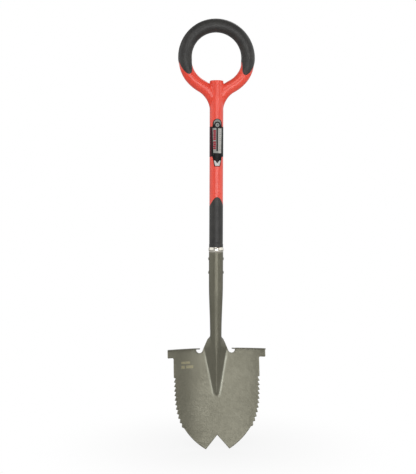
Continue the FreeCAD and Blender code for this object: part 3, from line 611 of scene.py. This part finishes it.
def seam_edge():
    """Edge of the socket's open seam, and of the arch below it, down to the neck's wing."""
    peak = NECK_Z + FLARE_HEIGHT
    seam_levels, arch_levels = np.linspace(SOCKET_TOP, peak, 50), np.linspace(peak, NECK_Z, 24)
    places = []
    for z in np.concatenate([seam_levels, arch_levels[1:]]):
        radius = float(socket_radius(z))
        climb = max(0.0, (peak - z) / FLARE_HEIGHT)
        x = SEAM_GAP / 2 + FLARE_HALF * (1 - (1 - climb) ** 2)
        places.append((radius * (math.pi - math.asin(min(1.0, x / radius))), z))
    return places


def wing_edge():
    """Edge of the neck's wing down to the relief notch."""
    wing_end = round_points(NOTCH_X, NOTCH_Z, NOTCH_RADIUS, [NOTCH_START])[0]
    points = arc_points(WING_TOP, WING_MIDDLE, wing_end, 22)
    return [(run_at(x, z), z) for x, z in points if z < NECK_Z - NECK_BLEND]


def notch_edge():
    """Round relief notch from the wing to the fold of the step, which it cuts through."""
    fold = 2 * math.pi + math.asin((FOLD_START - NOTCH_Z) / NOTCH_RADIUS)
    turns = np.linspace(NOTCH_START, fold, 22)[1:]
    points = round_points(NOTCH_X, NOTCH_Z, NOTCH_RADIUS, turns)
    places = [(run_at(x, min(z, FOLD_START)), z) for x, z in points]
    return places + [(places[-1][0], FOLD_END + 0.3)]


def step_edge():
    """Inner end, front edge and outer end of the foot step."""
    beside, ease, lip = 1.0, 0.6, STEP_CORNER
    inner, outer = run_at(STEP_INNER + beside, FOLD_START) - beside, run_at(TAB_X, FOLD_START)
    places = [(inner + ease, FOLD_END + ease)]
    places += round_points(inner + lip, STEP_END - lip, lip, quarter(180, 90, 9))
    places += round_points(outer - lip, STEP_END - lip, lip, quarter(90, 0, 9))
    return places


def tab_edge():
    """Outer edge of the tab, its hollow corner, and the plain part of the side."""
    corner_x, corner_z = TAB_X - TAB_CORNER, TAB_BOTTOM + TAB_CORNER
    hollow_x, hollow_z = BLADE_HALF + TAB_FILLET, TAB_BOTTOM - TAB_FILLET
    corners = [(TAB_X, FOLD_START)]
    corners += round_points(corner_x, corner_z, TAB_CORNER, quarter(0, -90, 5))
    corners += round_points(hollow_x, hollow_z, TAB_FILLET, quarter(90, 180, 7))
    corners.append((BLADE_HALF, TEETH_TOP))
    return [(run_at(x, z), z) for x, z in corners]


def tooth_line(z):
    """Half width of the blade over the tips of its teeth."""
    down = max(0.0, TEETH_TOP - z) / (TOOTH_COUNT * TOOTH_PITCH)
    return BLADE_HALF - TAPER * down ** TAPER_POWER


def tooth_edge():
    """Saw teeth: each slopes out to its tip and returns with a short side."""
    corners = []
    for i in range(TOOTH_COUNT):
        root = TEETH_TOP - i * TOOTH_PITCH - TOOTH_RETURN
        tip = TEETH_TOP - (i + 1) * TOOTH_PITCH
        corners += [(tooth_line(root) - TOOTH_DEPTH, root), (tooth_line(tip), tip)]
    return [(run_at(x, z), z) for x, z in corners]


def point_edge():
    """Bowed edge down to a tip, then up to the V notch in the middle."""
    tip = (TIP_X, 0.0)
    chord = np.array(ARC_TOP) - tip
    outward = np.array([chord[1], -chord[0]]) / np.linalg.norm(chord)
    middle = (np.array(ARC_TOP) + tip) / 2 + ARC_BULGE * outward
    points = arc_points(ARC_TOP, tuple(middle), tip, 20) + [(0.0, V_NOTCH)]
    return [(run_at(x, z), z) for x, z in points]


def blank_outline(spacing=2.5):
    """The blank's closed outline, anticlockwise, with no gap longer than the spacing."""
    right = seam_edge() + wing_edge() + notch_edge() + step_edge()
    right += tab_edge() + tooth_edge() + point_edge()
    left = [(-run, z) for run, z in reversed(right[:-1])]
    loop = right + left
    places = []
    for start, end in zip(loop, loop[1:] + loop[:1]):
        pieces = max(1, math.ceil(math.dist(start, end) / spacing))
        places += [mix(np.array(start), np.array(end), i / pieces) for i in range(pieces)]
    return np.array(places)[::-1]


def inward_steps(outline):
    """For each corner of an anticlockwise outline, the step that insets both its sides by 1."""
    before, after = np.roll(outline, 1, axis=0), np.roll(outline, -1, axis=0)

    def left_of(vector):
        vector = vector / np.linalg.norm(vector, axis=1)[:, None]
        return np.stack([-vector[:, 1], vector[:, 0]], axis=1)

    first, second = left_of(outline - before), left_of(after - outline)
    both = first + second
    return both / np.maximum((both * first).sum(axis=1), 0.25)[:, None]


def inside_loop(places, loop):
    """Which places lie inside a closed loop."""
    x, y = places.T
    inside = np.zeros(len(places), bool)
    for (ax, ay), (bx, by) in zip(loop, np.roll(loop, -1, axis=0)):
        if ay != by:
            crosses = ((ay > y) != (by > y)) & (x < (bx - ax) * (y - ay) / (by - ay) + ax)
            inside ^= crosses
    return inside


def blank_interior(loop, clear=1.0):
    """Places over the blank, closer together where the section bends, and clear of the loop."""
    lowest, row_pitch, stagger = 1.5, 2.6, 0.4
    socket_pitch, plate_pitch, plate_start = 2.2, 3.0, 2.0
    places = []
    for row, z in enumerate(np.arange(lowest, SOCKET_TOP, row_pitch)):
        if z > NECK_Z:
            half = list(np.arange(0.0, math.pi * SOCKET_MOUTH_RADIUS, socket_pitch))
        else:
            level = np.array([min(z, FOLD_START)])
            crest_end, flank_end, foot_end = (float(v[0]) for v in ridge_stops(level))
            half = list(np.linspace(0.0, crest_end, 5))
            half += list(np.linspace(crest_end, flank_end, 7)[1:])
            half += list(np.linspace(flank_end, foot_end, 6)[1:])
            half += list(np.arange(foot_end + plate_start, 1.4 * TAB_X, plate_pitch))
        shift = stagger * (row % 2)
        places += [(side * (run + shift), z) for run in half for side in (-1, 1)]
    places = np.unique(np.round(np.array(places), 3), axis=0)
    places = places[inside_loop(places, loop)]
    nearest = np.full(len(places), 1e9)
    for start, end in zip(loop, np.roll(loop, -1, axis=0)):
        stretch = end - start
        share = np.clip(((places - start) @ stretch) / (stretch @ stretch), 0.0, 1.0)
        away = places - start - share[:, None] * stretch
        nearest = np.minimum(nearest, np.linalg.norm(away, axis=1))
    return places[nearest > clear]


def edge_profile():
    """Inset and offset over the sheet's rounded edge, from its front face to its back face."""
    flat = SHEET / 2 - EDGE_ROUND
    turns = np.radians([0, 30, 60, 90])
    front = [(EDGE_ROUND * (1 - math.sin(t)), flat + EDGE_ROUND * math.cos(t)) for t in turns]
    return front + [(inset, -offset) for inset, offset in reversed(front)]


def make_blade():
    """The pressed head: socket, neck, ridge, plate, folded steps and teeth in one sheet."""
    outline = blank_outline()
    inward = inward_steps(outline)
    loop = outline + EDGE_ROUND * inward
    flat_points = [Vector(p) for p in np.concatenate([loop, blank_interior(loop)])]
    count = len(loop)
    inside_only, nearness = 1, 1e-5
    result = delaunay_2d_cdt(flat_points, [], [list(range(count))], inside_only, nearness)
    places = np.array([tuple(v) for v in result[0]])
    triangles = [tuple(face) for face in result[2]]
    place_of = {source: i for i, sources in enumerate(result[3]) for source in sources}
    rim = [place_of[i] for i in range(count)]
    total = len(places)
    rows = [sheet_point(outline + inset * inward, offset) for inset, offset in edge_profile()[1:-1]]
    points = np.concatenate([sheet_point(places, SHEET / 2), sheet_point(places, -SHEET / 2)] + rows)
    faces = triangles + [tuple(total + i for i in reversed(t)) for t in triangles]
    loops = [rim] + [[2 * total + k * count + i for i in range(count)] for k in range(len(rows))]
    loops.append([total + i for i in rim])
    for upper, lower in zip(loops, loops[1:]):
        for i in range(count):
            j = (i + 1) % count
            faces.append((upper[j], upper[i], lower[i], lower[j]))
    points[:, 1] += AXIS_Y
    obj = add_mesh("blade_sheet", points, faces, 38.0)
    return stand_for(obj, "blade")


# ---- shader helpers ----

def srgb(red, green, blue):
    """A display colour, 0 to 255, as the linear colour that a shader takes."""
    def linear(value):
        value /= 255.0
        return value / 12.92 if value <= 0.04045 else ((value + 0.055) / 1.055) ** 2.4
    return linear(red), linear(green), linear(blue), 1.0


class Nodes:
    """Short ways to add nodes to a tree and to join them."""

    def __init__(self, tree):
        self.tree = tree

    def add(self, kind, **settings):
        node = self.tree.nodes.new(kind)
        for name, value in settings.items():
            setattr(node, name, value)
        return node

    def feed(self, socket, value):
        """Links an output to a socket, or sets the socket to a plain value."""
        if isinstance(value, bpy.types.NodeSocket):
            self.tree.links.new(value, socket)
        else:
            socket.default_value = value

    def maths(self, operation, first, second=0.0):
        node = self.add("ShaderNodeMath", operation=operation)
        self.feed(node.inputs[0], first)
        self.feed(node.inputs[1], second)
        return node.outputs[0]

    def times(self, first, second):
        return self.maths("MULTIPLY", first, second)

    def parts(self, vector):
        """The X, Y and Z of a vector."""
        node = self.add("ShaderNodeSeparateXYZ")
        self.feed(node.inputs[0], vector)
        return node.outputs

    def band(self, value, low, high, to_low=0.0, to_high=1.0):
        """Maps a value between two limits smoothly to another range."""
        node = self.add("ShaderNodeMapRange", interpolation_type="SMOOTHSTEP")
        for socket, given in zip(node.inputs, (value, low, high, to_low, to_high)):
            self.feed(socket, given)
        return node.outputs[0]

    def within(self, value, low, high, soft):
        """1 between two limits and 0 outside them, with soft edges inside the limits."""
        rise, fall = self.band(value, low, low + soft), self.band(value, high, high - soft)
        return self.times(rise, fall)

    def blend(self, share, first, second):
        """A colour between two colours."""
        node = self.add("ShaderNodeMix", data_type="RGBA")
        self.feed(node.inputs["Factor"], share)
        self.feed(node.inputs["A"], first)
        self.feed(node.inputs["B"], second)
        return node.outputs["Result"]


class Finish(Nodes):
    """A procedural material: its Principled surface, and the textures that shape it."""

    def __init__(self, name):
        self.material = bpy.data.materials.new(name)
        self.material.use_nodes = True
        super().__init__(self.material.node_tree)
        self.surface = self.tree.nodes["Principled BSDF"]
        self.place = self.add("ShaderNodeTexCoord").outputs["Object"]

    def noise(self, size, detail, stretch=(1.0, 1.0, 1.0)):
        """Noise from 0 to 1 with blobs size millimetres wide; a stretch below 1 draws them out."""
        scaled = self.add("ShaderNodeMapping")
        self.feed(scaled.inputs["Vector"], self.place)
        scaled.inputs["Scale"].default_value = stretch
        node = self.add("ShaderNodeTexNoise")
        self.feed(node.inputs["Vector"], scaled.outputs[0])
        node.inputs["Scale"].default_value = 1.0 / (size * MM)
        node.inputs["Detail"].default_value = detail
        return node.outputs["Fac"]

    def cells(self, size):
        """Distance from the middles of rounded cells; size is their width in millimetres."""
        node = self.add("ShaderNodeTexVoronoi")
        self.feed(node.inputs["Vector"], self.place)
        node.inputs["Scale"].default_value = 1.0 / (size * MM)
        return node.outputs["Distance"]

    def edge_wear(self, reach):
        """Near 1 on outside and inside edges within reach millimetres, and 0 on open faces."""
        rounded = self.add("ShaderNodeBevel", samples=6)
        rounded.inputs["Radius"].default_value = reach * MM
        plain = self.add("ShaderNodeNewGeometry")
        dot = self.add("ShaderNodeVectorMath", operation="DOT_PRODUCT")
        self.feed(dot.inputs[0], rounded.outputs[0])
        self.feed(dot.inputs[1], plain.outputs["Normal"])
        return self.band(dot.outputs["Value"], 0.97, 0.80)

    def rough_face(self, height, depth):
        """Makes the surface's relief from a height of 0 to 1; depth is in millimetres."""
        bump = self.add("ShaderNodeBump")
        bump.inputs["Distance"].default_value = depth * MM
        self.feed(bump.inputs["Height"], height)
        self.feed(self.surface.inputs["Normal"], bump.outputs[0])

    def set(self, **values):
        """Feeds the surface's inputs by name and gives the finished material."""
        for name, value in values.items():
            self.feed(self.surface.inputs[name.replace("_", " ")], value)
        return self.material


def wear(obj, material):
    obj.data.materials.clear()
    obj.data.materials.append(material)


# ---- finishes ----

CORAL, PALE_CORAL, SCUFFED_CORAL = srgb(233, 66, 44), srgb(237, 76, 54), srgb(240, 130, 112)
RUBBER, BLOOMED_RUBBER, RUBBER_DUST = srgb(35, 34, 32), srgb(45, 44, 41), srgb(84, 82, 76)
ENAMEL, PALE_ENAMEL, ENAMEL_FLAKE = srgb(102, 100, 86), srgb(107, 105, 91), srgb(196, 194, 178)
# The last colour on the next line is a painted highlight for the hollows at the ridge's feet.
WORN_EDGE, PLATE_INK, HOLLOW_HIGHLIGHT = srgb(98, 94, 76), srgb(196, 186, 142), srgb(196, 198, 184)
# Left, right, low and high side of each printed bar on the plate.
PLATE_BARS = ((-93, -68, 219.5, 226), (-93, -83, 207.5, 215.5), (-80, -60, 207.5, 215.5))
BAR_SOFTNESS = 0.6
# Reach and inner edge, in millimetres, of the painted highlight along the hollows at the ridge's
# feet.
HOLLOW_REACH, HOLLOW_EDGE = 5.2, 0.2


def coral_plastic():
    """Satin moulded nylon, coral red: fine spark texture, soft mottling, faint scuffs."""
    f = Finish("coral_plastic")
    mottle = f.noise(38.0, 4.0, (1.0, 1.0, 0.5))
    colour = f.blend(f.band(mottle, 0.35, 0.68), CORAL, PALE_CORAL)
    scuffs = f.noise(3.0, 5.0, (1.0, 1.0, 0.12))
    colour = f.blend(f.band(scuffs, 0.66, 0.78, 0.0, 0.18), colour, SCUFFED_CORAL)
    grain = f.noise(0.55, 4.0)
    f.rough_face(f.maths("ADD", grain, f.times(f.cells(0.9), 0.5)), 0.05)
    roughness = f.band(f.noise(14.0, 5.0), 0.3, 0.7, 0.28, 0.36)
    return f.set(Base_Color=colour, Roughness=roughness, Coat_Weight=0.35, Coat_Roughness=0.15)


def soft_rubber():
    """Matte warm black elastomer: fine leathery grain and a slightly dusty bloom."""
    f = Finish("soft_rubber")
    bloom = f.noise(22.0, 5.0)
    colour = f.blend(f.band(bloom, 0.38, 0.66), RUBBER, BLOOMED_RUBBER)
    dust = f.noise(1.6, 6.0)
    colour = f.blend(f.band(dust, 0.60, 0.80, 0.0, 0.25), colour, RUBBER_DUST)
    skin = f.maths("SUBTRACT", 1.0, f.cells(1.3))
    f.rough_face(f.maths("ADD", skin, f.noise(0.5, 3.0)), 0.09)
    roughness = f.band(dust, 0.3, 0.7, 0.38, 0.50)
    return f.set(Base_Color=colour, Roughness=roughness, Sheen_Weight=0.03, Sheen_Roughness=0.5)


def print_bars(f, x, z):
    """Generic pale bars printed on the plate: two short rows of plain dashes."""
    mark = 0.0
    for left, right, low, high in PLATE_BARS:
        wide, tall = f.within(x, left, right, BAR_SOFTNESS), f.within(z, low, high, BAR_SOFTNESS)
        mark = f.maths("MAXIMUM", mark, f.times(wide, tall))
    return mark


def painted_hollow_highlights(f, x, z):
    """Near 1 along the hollows at the ridge's feet: a painted highlight, weaker on the left."""
    foot_at_zero = RIDGE_END_HALF - RIDGE_WIDENING * RIDGE_END
    foot = f.maths("ADD", f.times(z, RIDGE_WIDENING), foot_at_zero)
    away = f.maths("ABSOLUTE", f.maths("SUBTRACT", f.maths("ABSOLUTE", x), foot))
    low_fade = f.band(z, RIDGE_END - 6.0, RIDGE_END + 10.0)
    along = f.times(low_fade, f.band(z, STEP_Z, RIDGE_ROUND_Z))
    painted_glint = f.times(f.band(away, HOLLOW_REACH, HOLLOW_EDGE), along)
    # The painted highlight is weaker on the left side than on the right.
    less_on_left = f.band(x, -10.0, 10.0, 0.6, 1.0)
    return f.times(painted_glint, less_on_left)


def olive_steel():
    """Olive grey metallic enamel on pressed steel: fine flakes, orange peel, browner worn edges, and
    a painted highlight along the hollows at the ridge's feet.
    """
    f = Finish("olive_steel")
    drift = f.noise(70.0, 3.0)
    colour = f.blend(f.band(drift, 0.35, 0.65), ENAMEL, PALE_ENAMEL)
    flakes = f.cells(0.8)
    colour = f.blend(f.band(flakes, 0.05, 0.45, 0.28, 0.0), colour, ENAMEL_FLAKE)
    colour = f.blend(f.times(f.edge_wear(0.8), 0.30), colour, WORN_EDGE)
    place = f.parts(f.place)
    x, z = (f.times(place[axis], 1.0 / MM) for axis in ("X", "Z"))
    facing = f.parts(f.add("ShaderNodeNewGeometry").outputs["Normal"])
    front = f.band(facing["Y"], -0.2, -0.6)
    worn_ink = f.times(f.band(f.noise(2.0, 4.0), 0.30, 0.55, 0.06, 0.34), front)
    colour = f.blend(f.times(print_bars(f, x, z), worn_ink), colour, PLATE_INK)
    # Painted highlight: the hollows at the ridge's feet are lightened on the front faces.
    painted_glint = f.times(painted_hollow_highlights(f, x, z), front)
    colour = f.blend(f.times(painted_glint, 0.36), colour, HOLLOW_HIGHLIGHT)
    peel = f.maths("ADD", f.noise(1.4, 2.0), f.times(f.noise(0.35, 2.0), 0.4))
    f.rough_face(peel, 0.05)
    roughness = f.band(f.noise(9.0, 5.0), 0.3, 0.7, 0.29, 0.37)
    return f.set(Base_Color=colour, Metallic=0.55, Roughness=roughness)


def polished_steel():
    """Polished collar: bright chrome with faint turning lines and fine scratches."""
    f = Finish("polished_steel")
    lines = f.noise(0.5, 3.0, (0.02, 0.02, 1.0))
    scratches = f.noise(2.5, 6.0, (0.3, 0.3, 1.0))
    f.rough_face(lines, 0.006)
    roughness = f.band(scratches, 0.35, 0.75, 0.05, 0.14)
    return f.set(Base_Color=srgb(222, 218, 206), Metallic=1.0, Roughness=roughness)


def bare_steel():
    """Drawn steel tube: lengthwise drawing lines and a thin film of oil."""
    f = Finish("bare_steel")
    lines = f.noise(0.8, 4.0, (1.0, 1.0, 0.02))
    colour = f.blend(f.band(f.noise(18.0, 4.0), 0.4, 0.7), srgb(150, 150, 150), srgb(122, 120, 116))
    f.rough_face(lines, 0.02)
    return f.set(Base_Color=colour, Metallic=1.0, Roughness=f.band(lines, 0.3, 0.7, 0.28, 0.42))


def dowel_plastic():
    """Grey reprocessed plastic: flow marks and a dull skin."""
    f = Finish("dowel_plastic")
    flow = f.noise(9.0, 5.0, (1.0, 1.0, 0.3))
    colour = f.blend(f.band(flow, 0.35, 0.65), srgb(92, 92, 90), srgb(112, 112, 108))
    f.rough_face(f.noise(0.7, 3.0), 0.04)
    return f.set(Base_Color=colour, Roughness=0.5)


def label_print():
    """Glossy printed film: black band, silver panel with plain bars, round badge, silver point.

    Heights in it are measured down from the label's top edge, or up from its bottom edge.
    """
    f = Finish("label_print")
    place = f.parts(f.place)
    forward = f.maths("SUBTRACT", AXIS_Y * MM, place["Y"])
    across = f.times(f.maths("ARCTAN2", place["X"], forward), LABEL_RADIUS)
    z = f.times(place["Z"], 1.0 / MM)
    soft = 0.35

    def box(left, right, low, high):
        return f.times(f.within(across, left, right, soft), f.within(z, low, high, soft))

    def wedge(low, high, low_half, high_half):
        """A tapering strip about the middle of the label."""
        share = f.maths("DIVIDE", f.maths("SUBTRACT", z, low), high - low)
        half = f.maths("ADD", f.times(share, high_half - low_half), low_half)
        wide = f.band(f.maths("SUBTRACT", half, f.maths("ABSOLUTE", across)), 0.0, soft)
        return f.times(wide, f.within(z, low, high, soft))

    def disc(height, radius):
        up = f.maths("SUBTRACT", z, height)
        squares = (f.times(way, way) for way in (across, up))
        return f.band(f.maths("SQRT", f.maths("ADD", *squares)), radius, radius - soft)

    black, maroon, silver = srgb(14, 14, 15), srgb(84, 14, 32), srgb(150, 149, 144)
    red, pale, white = srgb(150, 18, 44), srgb(186, 184, 178), srgb(205, 204, 200)
    grey = srgb(148, 146, 142)
    top, bottom = LABEL_HIGH.z, LABEL_LOW.z
    red_left, red_right, red_height, red_pitch, red_step = -11.4, -3.6, 4.6, 5.3, 0.5
    grey_left, grey_right, grey_height, grey_pitch, grey_step = 5.2, 8.8, 2.6, 4.9, 0.8
    layers = [
        (f.band(across, -13.0, -24.0), maroon),
        (wedge(top - 92.5, top - 24.0, 10.8, 13.6), silver),
    ]
    for high, rows in ((top - 29.5, 5), (top - 58.5, 4)):
        for row in range(rows):
            start, left = high - red_pitch * row, red_left + red_step * (row % 2)
            layers.append((box(left, red_right, start - red_height, start), red))
    layers.append((box(-2.7, 1.6, top - 84.0, top - 23.0), black))
    layers.append((box(2.8, 11.4, top - 89.5, top - 26.0), pale))
    for row in range(11):
        start, right = top - 30.0 - grey_pitch * row, grey_right + grey_step * (row % 3)
        layers.append((box(grey_left, right, start - grey_height, start), grey))
    layers += [
        (wedge(top - 112.0, top - 89.0, 7.4, 11.0), black),
        (wedge(bottom + 1.6, bottom + 15.5, 5.6, 9.6), white),
        (wedge(bottom + 8.5, bottom + 15.8, 0.2, 6.4), black),
        (disc(top - 11.8, 11.6), srgb(34, 38, 36)),
        (disc(top - 11.5, 9.9), srgb(138, 140, 136)),
        (disc(top - 16.2, 9.0), srgb(28, 30, 30)),
        (disc(top - 16.2, 5.4), srgb(152, 152, 148)),
        (disc(top - 16.2, 2.0), srgb(70, 72, 70)),
    ]
    colour = black
    for mask, shade in layers:
        colour = f.blend(mask, colour, shade)
    f.rough_face(f.noise(4.0, 3.0), 0.02)
    return f.set(Base_Color=colour, Roughness=0.36, Specular_IOR_Level=0.15)


def apply_finishes(pieces):
    """One finish for each piece and each carried-over CAD node."""
    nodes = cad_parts
    rubber, steel, coral = soft_rubber(), olive_steel(), coral_plastic()
    for obj, finish in (
        (pieces["moulding"], coral), (nodes["top_plug"], coral),
        (pieces["ring_grip"], rubber), (pieces["lower_grip"], rubber),
        (pieces["blade"], steel), (nodes["socket_rivets"], steel),
        (nodes["collar"], polished_steel()), (nodes["shaft_label"], label_print()),
        (nodes["core_tube"], bare_steel()), (nodes["core_dowel"], dowel_plastic()),
    ):
        wear(obj, finish)


# ---- stage, light and camera ----

def make_floor():
    """A plain pale floor that fades into the backdrop away from the tool."""
    half = 6000.0
    points = [(-half, -half, 0.0), (half, -half, 0.0), (half, half, 0.0), (-half, half, 0.0)]
    floor = add_mesh("floor", points, [(0, 1, 2, 3)])
    f = Finish("pale_floor")
    grey, pale_grey = (0.70, 0.70, 0.70, 1.0), (0.74, 0.74, 0.74, 1.0)
    f.set(Base_Color=f.blend(f.noise(300.0, 4.0), grey, pale_grey), Roughness=0.9)
    glow = f.add("ShaderNodeEmission")
    far = f.add("ShaderNodeVectorMath", operation="LENGTH")
    f.feed(far.inputs[0], f.place)
    backdrop_share = f.band(far.outputs["Value"], 0.0, 0.5, 0.86, 1.0)
    joined = f.add("ShaderNodeMixShader")
    seen = f.add("ShaderNodeLightPath").outputs["Is Camera Ray"]
    f.feed(joined.inputs[0], f.times(backdrop_share, seen))
    f.feed(joined.inputs[1], f.surface.outputs[0])
    f.feed(joined.inputs[2], glow.outputs[0])
    f.feed(f.tree.nodes["Material Output"].inputs["Surface"], joined.outputs[0])
    wear(floor, f.material)


def make_world():
    """White behind the tool for the camera, and for reflections a dim room with bright sides."""
    world = bpy.data.worlds.new("studio")
    world.use_nodes = True
    world.node_tree.nodes.clear()
    studio = Nodes(world.node_tree)
    direction = studio.parts(studio.add("ShaderNodeNewGeometry").outputs["Incoming"])
    sideways = studio.maths("ABSOLUTE", direction["X"])
    room = studio.add("ShaderNodeBackground")
    studio.feed(room.inputs["Strength"], studio.band(sideways, 0.55, 0.88, 0.38, 1.40))
    white = studio.add("ShaderNodeBackground")
    studio.feed(white.inputs["Color"], (1.0, 1.0, 1.0, 1.0))
    pick = studio.add("ShaderNodeMixShader")
    studio.feed(pick.inputs[0], studio.add("ShaderNodeLightPath").outputs["Is Camera Ray"])
    studio.feed(pick.inputs[1], room.outputs[0])
    studio.feed(pick.inputs[2], white.outputs[0])
    output = studio.add("ShaderNodeOutputWorld")
    studio.feed(output.inputs["Surface"], pick.outputs[0])
    bpy.context.scene.world = world


def direction_from(azimuth, elevation):
    """A unit vector towards a viewer at this azimuth and elevation, in degrees."""
    a, e = math.radians(azimuth), math.radians(elevation)
    return Vector((math.sin(a) * math.cos(e), -math.cos(a) * math.cos(e), math.sin(e)))


def add_softbox(name, azimuth, elevation, width, height, watts):
    """A large soft panel, some way off, that faces the middle of the tool."""
    distance = 3200.0
    light = bpy.data.lights.new(name, "AREA")
    light.shape = "RECTANGLE"
    light.size, light.size_y = width * MM, height * MM
    light.energy = watts
    panel = bpy.data.objects.new(name, light)
    towards = direction_from(azimuth, elevation)
    middle = Vector((0.0, AXIS_Y, SOCKET_TOP)) * MM
    panel.location = middle + towards * distance * MM
    panel.rotation_euler = (-towards).to_track_quat("-Z", "Y").to_euler()
    bpy.context.scene.collection.objects.link(panel)


def make_lights():
    """Broad panels in front and above, narrow ones on the right, and one behind."""
    add_softbox("left_panel", -5.0, 2.0, 2200.0, 1200.0, 24.0)
    add_softbox("high_panel", -12.0, 38.0, 2000.0, 1200.0, 16.0)
    add_softbox("right_panel", 20.0, 4.0, 350.0, 2000.0, 12.0)
    add_softbox("right_strip", 52.0, 2.0, 160.0, 2000.0, 3.5)
    add_softbox("back_panel", 150.0, 45.0, 1800.0, 2000.0, 14.0)


def make_camera():
    """A long lens, level with the shaft, a little to the left of the tool's front."""
    azimuth, elevation, distance = -8.0, 2.2, 2600.0
    roll = math.radians(0.17)
    frame_height, aim_height, aim_left = 1244.3, 551.3, 21.2
    sensor = 36.0
    data = bpy.data.cameras.new("camera")
    data.sensor_width = sensor
    data.lens = sensor * distance / frame_height
    data.clip_end = 100.0
    camera = bpy.data.objects.new("camera", data)
    back = direction_from(azimuth, elevation)
    sideways = direction_from(azimuth + 90.0, 0.0)
    target = Vector((0.0, AXIS_Y, aim_height)) - sideways * aim_left
    camera.location = (target + back * distance) * MM
    aim = (-back).to_track_quat("-Z", "Y") @ Quaternion((0.0, 0.0, 1.0), roll)
    camera.rotation_euler = aim.to_euler()
    bpy.context.scene.collection.objects.link(camera)
    bpy.context.scene.camera = camera


# ---- scene ----

object_pieces = {
    "moulding": make_moulding(),
    "ring_grip": make_ring_grip(),
    "lower_grip": make_lower_grip(),
    "blade": make_blade(),
}
apply_finishes(object_pieces)
make_floor()
make_world()
make_lights()
make_camera()
bpy.context.scene.view_settings.view_transform = "Standard"
